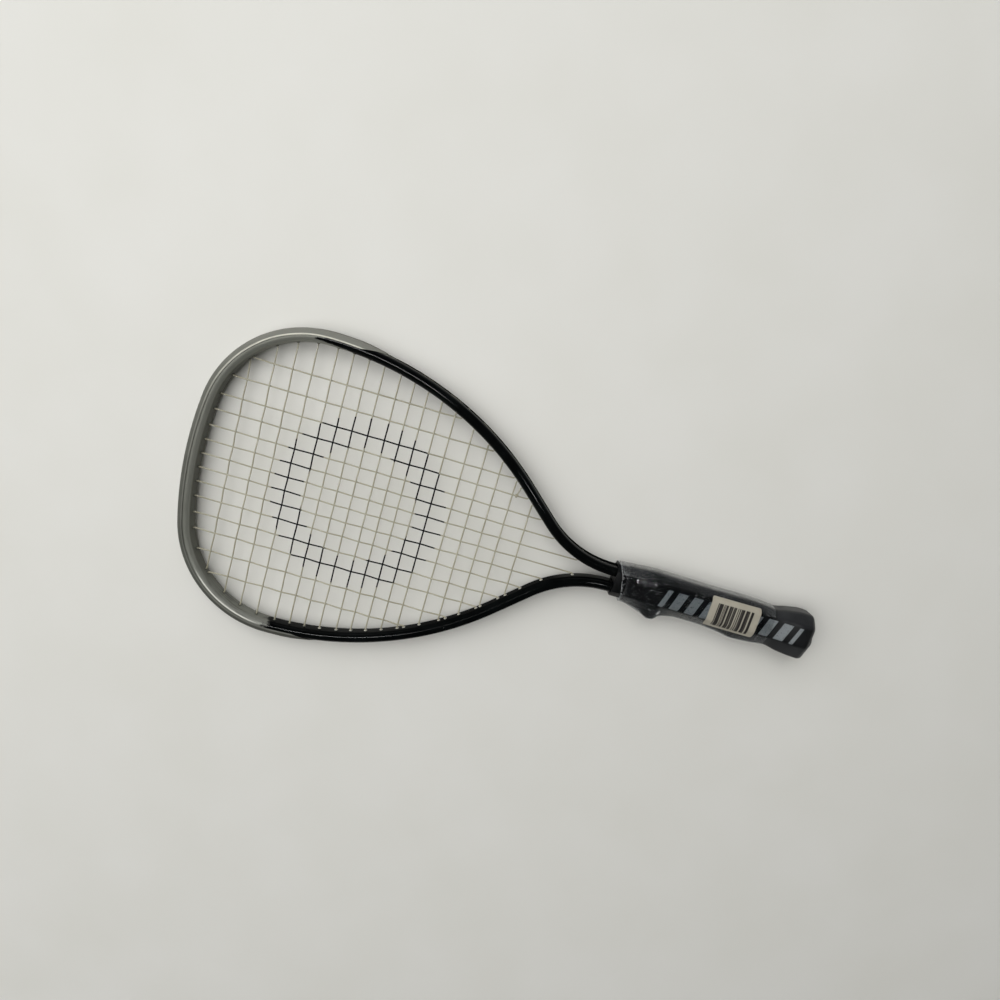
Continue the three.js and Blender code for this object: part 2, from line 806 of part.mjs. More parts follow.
function gripSleeve() {
  const body = handleLoft(gripStations, (station) => gripOutline(station));
  const palletBore = prismX(
    chamferedBox(boreHalfWidth, boreHalfDepth, palletChamfer),
    gripStart - cutOverrun,
    palletEnd + seatGap / 2,
  );
  const insertBore = prismX(
    chamferedBox(insertHalfWidth + seatGap, insertHalfDepth + seatGap, palletChamfer),
    gripStart,
    buttInsertEnd + seatGap,
  );
  return body.subtract(palletBore).subtract(insertBore).subtract(lanyardPlug(seatGap));
}

function buttInsert() {
  return prismX(
    chamferedBox(insertHalfWidth, insertHalfDepth, palletChamfer),
    palletEnd + seatGap,
    buttInsertEnd,
  );
}

// The moulded plug at the butt, with a bore for a wrist loop; grown, it is the hole for it.
function lanyardPlug(grow = 0) {
  const radius = lanyardPlugRadius + grow;
  const start = gripEnd - lanyardPlugDepth - grow;
  const round = (size, from, to) => prismX(circlePoints(size, plugSides), from, to, lanyardPlace);
  if (grow) return round(radius, start, gripEnd + cutOverrun);
  const body = round(radius, start, gripEnd + lanyardPlugProud / 2);
  const rim = round(radius * lanyardRimShare, gripEnd, overallLength);
  return body.add(rim).subtract(round(lanyardBore, start - cutOverrun, overallLength + cutOverrun));
}

// The clear film laps over the collar, spans the hollow before the finger rest and hugs the rest
const filmStations = [
  {
    ...gripStations[0],
    x: gripStart + seatGap,
    plus: collarHalfWidth,
    slant: collarReveal - filmFrontStep,
  },
  ...gripStations.slice(1, -filmBareCount),
].map((station) => ({ ...station, minus: Math.max(station.minus, filmChord(station.x)) }));

function filmChord(x) {
  const from = gripStations[1];
  const peak = gripStations[bumpIndex];
  if (x < from.x || x > peak.x) return 0;
  return from.minus + ((peak.minus - from.minus) * (x - from.x)) / (peak.x - from.x);
}

function filmSleeve() {
  const outer = handleLoft(filmStations, (station) => gripOutline(station, seatGap + filmThick));
  const longer = filmStations.map((station, k) => ({
    ...station,
    x: station.x + (k ? (k === filmStations.length - 1 ? cutOverrun : 0) : -cutOverrun),
  }));
  const inner = handleLoft(longer, (station) => gripOutline(station, seatGap));
  return outer.subtract(inner);
}

// Half widths and depth of the grip at any place between its stations
function gripAt(x) {
  const next = Math.max(1, gripStations.findIndex((station) => station.x >= x));
  const a = gripStations[next - 1];
  const b = gripStations[next];
  const t = (x - a.x) / (b.x - a.x);
  const mix = (key) => a[key] + (b[key] - a[key]) * t;
  return { x, plus: mix("plus"), minus: mix("minus"), deep: mix("deep") };
}

// The paper label lies over the front facet and a little way down both bevels
function label() {
  const lift = 2.5 * seatGap + filmThick;
  const section = (station, grow) => {
    const [, side, front, back, otherSide] = gripOutline(station, grow);
    const along = (from, to, share) => from.map((v, k) => v + (to[k] - v) * share);
    return [along(front, side, labelReachShare), front, back, along(back, otherSide, labelReachShare)];
  };
  const outlineOf = (station) => [
    ...section(station, lift + labelThick),
    ...section(station, lift).reverse(),
  ];
  const start = gripStart + labelPlaceShare * gripLength;
  const stations = [gripAt(start), ...gripStations.filter(({ x }) => x > start && x < start + labelLength)];
  stations.push(gripAt(start + labelLength));
  return handleLoft(stations, outlineOf);
}

// The racket

const racket = new THREE.Group();
racket.position.x = -overallLength / 2;

const stringing = new THREE.Group();
const handle = new THREE.Group();
racket.add(stringing, handle);

function place(group, name, shape, material) {
  const geometry = shape.isBufferGeometry ? shape : geometryFrom(shape);
  const mesh = new THREE.Mesh(geometry, material);
  mesh.name = name;
  group.add(mesh);
}

place(racket, "frame_tube", frameTube(), frameFinish);
place(racket, "bumper_guard", bumperGuard(), guardFinish);
place(racket, "grommet_strip_right", grommetStrip(1), nylonFinish);
place(racket, "grommet_strip_left", grommetStrip(-1), nylonFinish);

place(stringing, "main_string", cord(mainRoute(), stringRadius, stringSides), stringFinish);
place(stringing, "cross_string", cord(crossRoute(), stringRadius, stringSides), stringFinish);
place(stringing, "tie_off_knot", tieKnot(), stringFinish);
place(stringing, "main_start_knot", stopperKnot(mainEnd(0, "throat")), stringFinish);
place(stringing, "main_end_knot", stopperKnot(mainEnd(mainCount - 1, "throat")), stringFinish);
place(stringing, "cross_start_knot", stopperKnot(crossEnd(0, 1)), stringFinish);

place(handle, "throat_collar", collar(), collarFinish);
place(handle, "pallet_front", palletHalf(1), palletFinish);
place(handle, "pallet_back", palletHalf(-1), palletFinish);
palletScrewPlaces.forEach((x, i) => place(handle, "pallet_screw_" + (i + 1), screwAt(x), steelFinish));
place(handle, "butt_insert", buttInsert(), palletFinish);
place(handle, "grip_sleeve", gripSleeve(), gripFinish);
place(handle, "lanyard_plug", lanyardPlug(), collarFinish);
place(handle, "shrink_film", filmSleeve(), filmFinish);
place(handle, "paper_label", label(), labelFinish);

export default racket;
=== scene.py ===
# %% [markdown]
# # A racquetball racket
# The racket is a loop of aluminium tube, strung with nylon, whose two ends run into a rubber
# grip. A fixed CAD model gives its sizes. This notebook dresses that model: each step says what
# the piece is on the real racket, how it could be made, and why one way was chosen.
# All sizes are in millimetres until a mesh is made. The head points to -X and the grip to +X.

# %% Load the fixed frame
import json
import math

import bpy
import numpy as np
from mathutils import Matrix, Vector

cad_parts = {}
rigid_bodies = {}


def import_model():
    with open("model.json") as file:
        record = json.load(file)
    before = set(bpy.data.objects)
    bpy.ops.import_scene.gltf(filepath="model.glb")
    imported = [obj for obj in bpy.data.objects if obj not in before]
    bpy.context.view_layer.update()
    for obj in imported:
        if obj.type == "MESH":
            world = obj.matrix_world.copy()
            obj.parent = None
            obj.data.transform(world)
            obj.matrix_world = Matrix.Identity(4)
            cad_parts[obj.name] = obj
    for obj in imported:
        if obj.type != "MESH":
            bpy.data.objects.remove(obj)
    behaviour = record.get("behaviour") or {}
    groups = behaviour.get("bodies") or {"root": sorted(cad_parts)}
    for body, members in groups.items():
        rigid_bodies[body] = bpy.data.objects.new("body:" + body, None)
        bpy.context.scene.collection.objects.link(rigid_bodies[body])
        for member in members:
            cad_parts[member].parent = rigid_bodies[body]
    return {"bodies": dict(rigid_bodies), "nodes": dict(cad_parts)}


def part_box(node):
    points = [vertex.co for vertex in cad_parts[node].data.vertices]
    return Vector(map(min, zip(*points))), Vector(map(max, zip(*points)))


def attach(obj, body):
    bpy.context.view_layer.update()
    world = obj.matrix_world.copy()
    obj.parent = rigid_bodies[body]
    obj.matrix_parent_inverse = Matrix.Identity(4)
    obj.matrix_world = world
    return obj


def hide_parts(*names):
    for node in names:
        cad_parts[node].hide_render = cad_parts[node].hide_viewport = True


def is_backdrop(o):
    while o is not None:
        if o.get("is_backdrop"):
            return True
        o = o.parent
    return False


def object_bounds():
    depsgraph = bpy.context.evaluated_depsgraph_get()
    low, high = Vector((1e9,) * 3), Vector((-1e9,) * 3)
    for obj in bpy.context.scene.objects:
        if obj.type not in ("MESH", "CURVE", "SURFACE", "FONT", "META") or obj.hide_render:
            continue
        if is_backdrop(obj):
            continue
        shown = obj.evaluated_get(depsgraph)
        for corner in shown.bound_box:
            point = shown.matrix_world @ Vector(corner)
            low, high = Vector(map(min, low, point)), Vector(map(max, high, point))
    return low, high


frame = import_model()
cad_box = [list(corner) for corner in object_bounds()]
MM = 0.001
body_name = next(iter(frame["bodies"]))
print("CAD nodes:", len(frame["nodes"]), "on the body", body_name)


# %% Put an object in the scene
def new_object(name, data):
    made = bpy.data.objects.new(name, data)
    bpy.context.collection.objects.link(made)
    return made


# %% Driving sizes of the racket
overall_length = 559
tube_width = 9.4
tube_depth = 16.6
groove_depth = 3
groove_floor = 7.2
groove_lip = 8.4
tip_radius, tip_turn = 322.2, 9.7
corner_radius, corner_turn = 87.6, 79.9
side_radius, side_turn = 276.1, 42.5
throat_radius = 93.5
shank_spacing = 14.4
shank_straight = 115
half_tube = tube_width / 2
half_depth = tube_depth / 2
string_radius = 0.65
guard_proud = 2
seat_gap = 0.3
tip_centre = guard_proud + half_tube
print("tube of", tube_width, "by", tube_depth, "mm")

# %% [markdown]
# ## The camera
# The photograph was taken with a wide lens from close by, so the handle's end looks smaller than
# it would from far away. The camera is placed by the point that it aims at on the string plane,
# its own position and its roll about the line of sight.

# %% Camera at the photograph's angle
camera_place = Vector((-40.1, 157.8, 572.1)) * MM
camera_aim = Vector((-15.3, 38.2, 0)) * MM
camera_roll = math.radians(16.62)
sight = (camera_aim - camera_place).normalized()
level_right = sight.cross(Vector((0, 1, 0))).normalized()
level_up = level_right.cross(sight)
camera_right = level_right * math.cos(camera_roll) + level_up * math.sin(camera_roll)
camera_up = camera_right.cross(sight)

lens_data = bpy.data.cameras.new("photo_camera")
lens_data.sensor_width = 36
lens_data.lens = 24.84
lens_data.clip_start = 0.01
camera = new_object("photo_camera", lens_data)
camera.matrix_world = Matrix((camera_right, camera_up, -sight)).transposed().to_4x4()
camera.matrix_world.translation = camera_place
bpy.context.scene.camera = camera
bpy.context.scene.view_settings.view_transform = "Standard"
print("camera is", round((camera_aim - camera_place).length / MM), "mm from the string plane")

# %% [markdown]
# ## The path of the tube
# The tube is bent in arcs that meet without a kink: a flat tip, a tight corner, a long side, a
# straight flank and a reverse bend into the handle. A path made from arcs keeps the real shape
# at any fineness, where a curve drawn by hand through points would wobble.

# %% Centreline made of tangent arcs
def along_leg(start, leg, distance):
    x, y, heading = start
    turn, radius = leg
    if turn == 0:
        return x + distance * math.cos(heading), y + distance * math.sin(heading), heading
    side = math.copysign(1, turn)
    new = heading - side * distance / radius
    x += side * radius * (math.sin(heading) - math.sin(new))
    y -= side * radius * (math.cos(heading) - math.cos(new))
    return x, y, new


def leg_length(leg):
    """An arc's length, or a straight leg's, whose turn is 0."""
    return leg[1] if leg[0] == 0 else abs(leg[0]) * leg[1]


turns = [(tip_turn, tip_radius), (corner_turn, corner_radius), (side_turn, side_radius)]
legs = [(math.radians(turn), radius) for turn, radius in turns]
starts = [(tip_centre, 0, math.pi / 2)]
for leg in legs:
    starts.append(along_leg(starts[-1], leg, leg_length(leg)))
flank_angle = sum(leg[0] for leg in legs) - math.pi / 2
throat_drop = throat_radius * (1 - math.cos(flank_angle))
flank_run = (starts[-1][1] - shank_spacing / 2 - throat_drop) / math.sin(flank_angle)
for leg in [(0, flank_run), (-flank_angle, throat_radius)]:
    legs.append(leg)
    starts.append(along_leg(starts[-1], leg, leg_length(leg)))
parallel_x = starts[-1][0]
loop_end = sum(leg_length(leg) for leg in legs)
widest = sum(leg_length(leg) for leg in legs[:2])
legs.append((0, shank_straight))
leg_ends = np.cumsum([leg_length(leg) for leg in legs])
print("shanks run parallel from", round(parallel_x, 1), "mm behind the tip")


# %% Points beside the tube
def beside(distance, level, z=0.0):
    """The point at a distance along the tube, signed by side, and a level out from its centre."""
    s = abs(distance)
    k = min(int(np.searchsorted(leg_ends, s)), len(legs) - 1)
    before = leg_ends[k - 1] if k else 0
    x, y, heading = along_leg(starts[k], legs[k], s - before)
    side = -1 if distance < 0 else 1
    px, py = x - level * math.sin(heading), y + level * math.cos(heading)
    return np.array([px - overall_length / 2, side * py, z])


def out_from(distance):
    step = beside(distance, 1) - beside(distance, 0)
    return step / np.linalg.norm(step)


print("head is", round(2 * beside(widest, half_tube)[1]), "mm wide without its guard")

# %% [markdown]
# ## One way to make a skin
# Nearly every piece here is a row of rings joined by faces: the tube, the guard, the grip. One
# function makes them all. It also lays a UV map in real millimetres, along and around the piece,
# so that scratches and streaks can follow the tube round its bends.

# %% Skin over rings
def running_length(points):
    """How far each point lies along the line through them."""
    steps = np.diff(points, axis=0)
    return np.append(0, np.cumsum(np.linalg.norm(steps, axis=1)))


def skin(name, rings, around_the_path=False, sharp=35):
    """Joins rings into a closed mesh: capped at both ends, or closed round to the first ring."""
    rings = np.asarray(rings, float)
    count, size = rings.shape[:2]
    spans = count if around_the_path else count - 1
    k, i = np.meshgrid(np.arange(spans), np.arange(size), indexing="ij")
    k2, i2 = (k + 1) % count, (i + 1) % size
    faces = np.stack([k * size + i, k * size + i2, k2 * size + i2, k2 * size + i], -1)
    centres = rings.mean(1)
    run = running_length(np.vstack([centres, centres[:1]]))
    middle = rings[count // 2]
    girth = running_length(np.vstack([middle, middle[:1]]))
    u = np.stack([run[k], run[k], run[k + 1], run[k + 1]], -1)
    v = np.stack([girth[i], girth[i + 1], girth[i + 1], girth[i]], -1)
    uv = np.stack([u, v], -1).reshape(-1, 2)
    quads = faces.reshape(-1, 4).tolist()
    if not around_the_path:
        last = (count - 1) * size
        quads.append(list(range(size))[::-1])
        quads.append(list(range(last, last + size)))
        uv = np.vstack([uv, np.zeros((2 * size, 2))])
    mesh = bpy.data.meshes.new(name)
    mesh.from_pydata((rings.reshape(-1, 3) * MM).tolist(), [], quads)
    layer = mesh.uv_layers.new(name="along_and_around")
    layer.data.foreach_set("uv", uv.ravel())
    mesh.shade_smooth()
    mesh.set_sharp_from_angle(angle=math.radians(sharp))
    mesh.validate()
    return new_object(name, mesh)


# %% Outlines, and the last step of each piece
def mirrored(upper):
    """An outline's upper half, then the same points below it."""
    return upper + [(u, -v) for u, v in reversed(upper)]


def rounded(points, radius, steps=4):
    """Rounds each corner of a closed outline with a short curve."""
    points = [np.array(p, float) for p in points]
    made = []
    for k, corner in enumerate(points):
        cuts = []
        for other in (points[k - 1], points[(k + 1) % len(points)]):
            span = np.linalg.norm(other - corner)
            cuts.append(corner + (other - corner) * min(radius / max(span, 1e-6), 0.45))
        for t in np.linspace(0, 1, steps + 1):
            made.append((1 - t) ** 2 * cuts[0] + 2 * t * (1 - t) * corner + t * t * cuts[1])
    return made


def finish_piece(piece, node, material):
    """Gives a piece its finish, puts it on the body and lets it stand for its CAD node."""
    piece.data.materials.clear()
    piece.data.materials.append(material)
    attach(piece, body_name)
    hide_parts(node)
    triangles = sum(len(face.vertices) - 2 for face in piece.data.polygons)
    print(piece.name, "has", triangles, "triangles")


# %% [markdown]
# ## Helpers for materials
# Every finish is a tree of nodes. One function adds a node, sets it up and links it, and one
# turns the sRGB colours that a person reads off a screen into the linear values that light needs.
# Four more hold what the finishes here share: how one starts, how it ends, two tones mixed by a
# pattern, and a stripe. A pattern's scale is 1 over the size of its features in millimetres.

# %% Colour and node helpers
def srgb(code):
    parts = [int(code[k : k + 2], 16) / 255 for k in (1, 3, 5)]
    return (*[c / 12.92 if c <= 0.04045 else ((c + 0.055) / 1.055) ** 2.4 for c in parts], 1.0)


def add(tree, kind, inputs=(), **settings):
    """Adds a node. A tuple fills its inputs in order, and a dictionary by their names."""
    made = tree.nodes.new(kind if "Node" in kind else "ShaderNode" + kind)
    for name, value in settings.items():
        setattr(made, name, value)
    if isinstance(inputs, tuple):
        inputs = dict(zip([k for k, socket in enumerate(made.inputs) if socket.enabled], inputs))
    for key, value in inputs.items():
        socket = made.inputs[key]
        if isinstance(value, bpy.types.Node):
            value = next(output for output in value.outputs if output.enabled)
        if isinstance(value, bpy.types.NodeSocket):
            tree.links.new(value, socket)
        else:
            socket.default_value = value
    return made


# %% What the finishes share
def new_finish(name):
    """A new material, its tree, and the place on the surface in millimetres."""
    material = bpy.data.materials.new(name)
    material.use_nodes = True
    tree = material.node_tree
    tree.nodes.clear()
    place = add(tree, "TexCoord").outputs["Object"]
    return material, tree, add(tree, "Mapping", {"Vector": place, "Scale": [1 / MM] * 3})


def close_finish(material, tree, inputs):
    add(tree, "OutputMaterial", {"Surface": add(tree, "BsdfPrincipled", inputs)})
    print(material.name, "has", len(tree.nodes), "nodes")


def two_tones(tree, pattern, low, high, first, second):
    """Goes from the first colour to the second as the pattern rises from low to high."""
    share = add(tree, "MapRange", (pattern, low, high))
    return add(tree, "Mix", (share, srgb(first), srgb(second)), data_type="RGBA")


def stripe(tree, value, middle, nothing, full, strength=1.0, kind="LINEAR"):
    """Goes from nothing, at one distance from the middle, to full strength at the other."""
    off = add(tree, "Math", (value, middle), operation="SUBTRACT")
    off = add(tree, "Math", (off,), operation="ABSOLUTE")
    return add(tree, "MapRange", (off, nothing, full, 0, strength), interpolation_type=kind)


# %% [markdown]
# ## The floor and the light
# A pale floor lies under the racket, touching the guard at the head and the flare at the butt.
# It is painted, so it is dull and only faintly mottled.
# The racket is glossy black, so it shows its surroundings rather than its own colour. Two large
# panels light the floor and every dull surface, but no gloss. The wider one hangs above and
# beyond the tip, where the grip's film can't mirror it, and the other stands beyond the upper
# rim, so the shadows are soft and fall to the near side. Two narrow lamps overhead show in gloss
# alone and draw the thin bright lines on the tube's crown. The studio is pale round the horizon,
# which lightens the bevels, and dark overhead.

# %% Floor, tilted to touch the head's rim and the butt
rim_inset = 3 * MM
flare_inset = 8.4 * MM
floor_gap = 0.02 * MM
floor_half = 4000 * MM
guard_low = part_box("bumper_guard")[0]
butt_low, butt_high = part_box("grip_sleeve")
butt_rest = Vector((butt_high.x - flare_inset, 0, butt_low.z))
rim_rest = Vector((guard_low.x + rim_inset, 0, guard_low.z))
fall = (rim_rest.z - butt_rest.z) / (butt_rest.x - rim_rest.x)
corners = [(x * floor_half, y * floor_half) for x, y in ((-1, -1), (1, -1), (1, 1), (-1, 1))]
floor_points = [(x, y, butt_rest.z - fall * (x - butt_rest.x) - floor_gap) for x, y in corners]
floor_mesh = bpy.data.meshes.new("floor")
floor_mesh.from_pydata(floor_points, [], [(0, 1, 2, 3)])
floor = new_object("floor", floor_mesh)
table_paint, tree, where = new_finish("painted_table_top")
mottle = add(tree, "TexNoise", (where, 1 / 90))
tone = two_tones(tree, mottle, 0.3, 0.7, "#dbdad4", "#d8d7d0")
close_finish(table_paint, tree, {"Base Color": tone, "Roughness": 0.6})
floor_mesh.materials.append(table_paint)
floor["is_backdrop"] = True
print("floor falls", round(fall * 1000, 1), "mm in a metre towards the butt")


# %% Lights, in metres and watts
def area_light(name, place, aim, size, watts, gloss_only):
    """A lamp whose length lies along the racket, seen in gloss alone or everywhere but there."""
    data = bpy.data.lights.new(name, "AREA")
    data.shape = "RECTANGLE"
    data.size, data.size_y = size
    data.energy = watts
    light = new_object(name, data)
    back = (Vector(place) - Vector(aim)).normalized()
    across = back.cross(Vector((1, 0, 0))).normalized()
    light.matrix_world = Matrix((across.cross(back), across, back)).transposed().to_4x4()
    light.matrix_world.translation = place
    light.visible_glossy, light.visible_diffuse = gloss_only, not gloss_only
    print(name, "gives", watts, "W")


area_light("ceiling_panel", (-1.5, 0.35, 2.3), (0, 0, 0), (4.2, 4.6), 116, gloss_only=False)
area_light("side_panel", (-0.3, 1.5, 1.5), (0, 0, 0), (1.8, 1.6), 15, gloss_only=False)
area_light("long_lamp", (-0.54, 0.02, 1.5), (-0.2, 0.02, 0), (0.72, 0.045), 9, gloss_only=True)
area_light("short_lamp", (0.35, 0.02, 1.5), (0.1, 0.02, 0), (0.1, 0.05), 1.2, gloss_only=True)

# %% Studio round the racket
world = bpy.data.worlds.new("studio")
bpy.context.scene.world = world
world.use_nodes = True
tree = world.node_tree
tree.nodes.clear()
sky = add(tree, "SeparateXYZ", (add(tree, "TexCoord").outputs["Generated"],))
horizon = two_tones(tree, sky.outputs["Y"], -0.3, 0.3, "#9fa1a0", "#babdbe")
overhead = add(tree, "MapRange", (sky.outputs["Z"], 0.12, 0.5, 0, 1), interpolation_type="SMOOTHSTEP")
grey = add(tree, "Mix", (overhead, horizon, srgb("#1b1c1e")), data_type="RGBA")
glow = add(tree, "Background", {"Color": grey, "Strength": 1.0})
add(tree, "OutputWorld", {"Surface": glow})
print("studio has", len(tree.nodes), "nodes")

# %% [markdown]
# ## Finish: stoved enamel on the tube
# The aluminium tube is dipped black, and its head end is sprayed silver. Black enamel gives
# sharp, weak reflections; the silver holds metal flake and lies duller. The edge between them is
# soft and ragged, as a spray without a mask leaves it. Streaks, chips, specks that are partly dust
# and partly painted glints, painted light and shade and a painted highlight line follow the tube,
# so they are placed by each point's distance along it, its level out from the centre and its
# height, which the tube's mesh carries as an attribute.

# %% Where a point lies on the tube
def tube_places(tree, stretch):
    """The UV map stretched along the tube, then the distance, the level and the height."""
    section = add(tree, "Attribute", attribute_name="section").outputs["Vector"]
    section = add(tree, "SeparateXYZ", (section,))
    along = add(tree, "TexCoord").outputs["UV"]
    drawn_out = add(tree, "Mapping", {"Vector": along, "Scale": (stretch, 1, 1)})
    return drawn_out, *section.outputs


frame_enamel, tree, where = new_finish("stoved_enamel_black_and_silver")
drawn_out, distance, level, height = tube_places(tree, 0.07)
from_tip = add(tree, "Math", (distance,), operation="ABSOLUTE")
print("scratches on the tube run", round(1 / 0.07), "times as long as they are wide")

# %% Where the silver ends: in a wedge on the upper side, straight across on the lower one
silver_end = 177
wedge_start = -14.0
ragged_reach = 4
wedge = add(tree, "Math", (level, 1.0), operation="ADD")
wedge = add(tree, "Math", (wedge,), operation="ABSOLUTE")
wedge = add(tree, "Math", (wedge, 1.5), operation="POWER")
wedge = add(tree, "Math", (wedge, 5.0, wedge_start), operation="MULTIPLY_ADD")
upper_side = add(tree, "MapRange", (distance, -1, 1))
stop = add(tree, "Math", (upper_side, wedge, silver_end), operation="MULTIPLY_ADD")
ragged = add(tree, "TexNoise", (where, 1 / 5, 4, 0.6))
ragged = add(tree, "MapRange", (ragged, 0.3, 0.7, -ragged_reach, ragged_reach))
stop = add(tree, "Math", (ragged, stop), operation="ADD")
inside = add(tree, "Math", (stop, from_tip), operation="SUBTRACT")
silver = add(tree, "MapRange", (inside, -3, 3), interpolation_type="SMOOTHSTEP")
print("enamel turns silver near", silver_end, "mm along the tube from the tip")

# %% Silver's tones: streaks, painted light and shade over the tip, a painted highlight line and a darker inner wall
streak = add(tree, "MapRange", (add(tree, "TexNoise", (drawn_out, 1 / 1.6, 4, 0.6)), 0.45, 0.62))
blotch = add(tree, "TexNoise", (where, 1 / 14, 3))
patchy = add(tree, "MapRange", (blotch, 0.35, 0.6, 0.25, 0.9))
streaked = add(tree, "Math", (streak, patchy), operation="MULTIPLY")
silver_tone = add(tree, "Mix", (streaked, srgb("#7b7c75"), srgb("#55554f")), data_type="RGBA")

# painted light and shade: over the tip and the upper side the silver's tone follows its level, lighter
# towards the inner side
wear_and_painted_light = add(tree, "MapRange", (distance, -120, -60, 0.0, 0.75), interpolation_type="SMOOTHSTEP")
inward = two_tones(tree, level, -1.5, -4.0, "#65665e", "#8e8f86")
silver_tone = add(tree, "Mix", (wear_and_painted_light, silver_tone, inward), data_type="RGBA")

# a painted highlight line along the crown on the lower side, near where the silver ends
painted_highlight_across = stripe(tree, level, -0.6, 0.75, 0.35)
painted_highlight_along = stripe(tree, distance, -135, 42, 22, 0.85, "SMOOTHSTEP")
pale = add(tree, "Math", (painted_highlight_across, painted_highlight_along), operation="MULTIPLY")
on_crown_line = add(tree, "MapRange", (height, 7, 7.6))
pale = add(tree, "Math", (pale, on_crown_line), operation="MULTIPLY")
silver_tone = add(tree, "Mix", (pale, silver_tone, srgb("#d2d2c8")), data_type="RGBA")

wall = add(tree, "MapRange", (level, -3.9, -4.5))
near_tip = add(tree, "MapRange", (from_tip, 130, 80), interpolation_type="SMOOTHSTEP")
wall = add(tree, "Math", (wall, near_tip), operation="MULTIPLY")
wall = add(tree, "Math", (wall, 0.6), operation="MULTIPLY")
silver_tone = add(tree, "Mix", (wall, silver_tone, srgb("#4c4c46")), data_type="RGBA")
print("silver takes the tree to", len(tree.nodes), "nodes")

# %% Black enamel with specks of dust and painted glints, and the gloss of both
speck_spacing = 9
black_tone = two_tones(tree, blotch, 0.4, 0.7, "#050606", "#0a0c0c")
# specks that are partly dust and partly painted glints
specks = add(tree, "TexVoronoi", (where, 1 / speck_spacing))
dust_and_glint = add(tree, "MapRange", (specks, 0.032, 0.02))
black_tone = add(tree, "Mix", (dust_and_glint, black_tone, srgb("#8f918e")), data_type="RGBA")
tone = add(tree, "Mix", (silver, black_tone, silver_tone), data_type="RGBA")

inner_gloss = add(tree, "MapRange", (level, -3.6, -4.4, 0.12, 0.03))
outer_gloss = add(tree, "MapRange", (level, 3.4, 4.4, 0, 0.3))
gloss = add(tree, "Math", (inner_gloss, outer_gloss), operation="ADD")
# the near flank, from the guard to the throat, is handled most and has lost its gloss
handled = add(tree, "MapRange", (distance, -270, -320))
before_throat = add(tree, "MapRange", (distance, -455, -440))
handled = add(tree, "Math", (handled, before_throat), operation="MULTIPLY")
kept_gloss = add(tree, "MapRange", (handled, 0, 1, 1.0, 0.12))
gloss = add(tree, "Math", (gloss, kept_gloss), operation="MULTIPLY")

# real flake is finer than 0.1 mm: it is drawn 0.35 mm across, the finest that shows
flake = add(tree, "TexNoise", (where, 1 / 0.35))
flake = add(tree, "Math", (flake, silver), operation="MULTIPLY")
relief = add(tree, "Bump", {"Height": flake, "Distance": 0.02 * MM})
peel = add(tree, "TexNoise", (where, 1 / 2.5))
peel = add(tree, "Bump", {"Height": peel, "Distance": 0.012 * MM, "Normal": relief})
close_finish(frame_enamel, tree, {
    "Base Color": tone,
    "Metallic": add(tree, "Math", (silver, 0.25), operation="MULTIPLY"),
    "Roughness": add(tree, "MapRange", (silver, 0, 1, 0.09, 0.42)),
    "Specular IOR Level": gloss,
    "Normal": peel,
})

# %% [markdown]
# ## The frame tube
# The real tube is drawn from aluminium as an oval with a groove along its outer side, where the
# strings run sunk and safe. A box with a bevel would show flat faces with hard lines between
# them; a smooth oval spreads the highlight as the real one does, so its ends are drawn as
# curves a little squarer than a circle.

# %% Section of the tube
crown_power = 2.15
lip_round = 0.5
turn = np.linspace(0, math.pi / 2, 13)
crown_u = half_tube * np.cos(turn) ** (2 / crown_power)
crown_v = half_depth - half_tube + half_tube * np.sin(turn) ** (2 / crown_power)
outer_quarter = list(zip(crown_u, crown_v))
inner_quarter = [(-u, v) for u, v in reversed(outer_quarter[:-1])]
groove_side = [
    (half_tube - groove_depth, groove_floor / 2 - lip_round),
    (half_tube - groove_depth + lip_round / 2, groove_floor / 2),
    (half_tube - lip_round, groove_lip / 2 - 0.1),
    (half_tube - lip_round / 3, groove_lip / 2 + 0.15),
    (half_tube, groove_lip / 2 + lip_round),
]
tube_outline = mirrored(groove_side + outer_quarter[1:] + inner_quarter)
print("tube outline has", len(tube_outline), "points")


# %% Sweep along the frame
def stations(start, stop, step=2.5):
    """Places along the tube from start to stop, evenly spaced and no more than a step apart."""
    return np.linspace(start, stop, int(math.ceil(abs(stop - start) / step)) + 1)


def sweep(name, outline_at, places):
    """A skin along the tube; each point keeps its distance, level and height as an attribute."""
    outlines = [outline_at(s) for s in places]
    rings = [[beside(s, level, z) for level, z in outline] for s, outline in zip(places, outlines)]
    piece = skin(name, rings)
    own = [(s, level, z) for s, outline in zip(places, outlines) for level, z in outline]
    section = piece.data.attributes.new("section", "FLOAT_VECTOR", "POINT")
    section.data.foreach_set("vector", np.array(own, float).ravel())
    return piece


shank_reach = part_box("frame_tube")[1].x / MM + overall_length / 2 - parallel_x
tube_end = loop_end + shank_reach
frame_tube = sweep("frame_tube_skin", lambda s: tube_outline, stations(-tube_end, tube_end))
finish_piece(frame_tube, "frame_tube", frame_enamel)

# %% [markdown]
# ## Where the strings go through
# Each string end meets the tube's inner wall where its straight line does. The CAD model solves
# the same places, so that the noses of the grommets fit its drilled holes.

# %% String places along the tube
# mains lie at shares of the head's half width, crosses at shares of the way to the shanks
main_shares = [0.0482, 0.146, 0.2474, 0.3593, 0.4676, 0.6031, 0.7486]
cross_shares = [0.0967, 0.1476, 0.1895, 0.2313, 0.2754, 0.3113, 0.3466, 0.3822, 0.4212]
cross_shares += [0.4544, 0.4881, 0.5231, 0.5585, 0.6058, 0.647, 0.6882, 0.7299, 0.7792]
nose_proud = 0.6
bend_inside = 0.9
bend_level = -(half_tube + nose_proud + bend_inside)
hole_pitch = 4.1
head_half_width = beside(widest, 0)[1]
mains = [share * head_half_width for share in main_shares]
crosses = [share * parallel_x - overall_length / 2 for share in cross_shares]


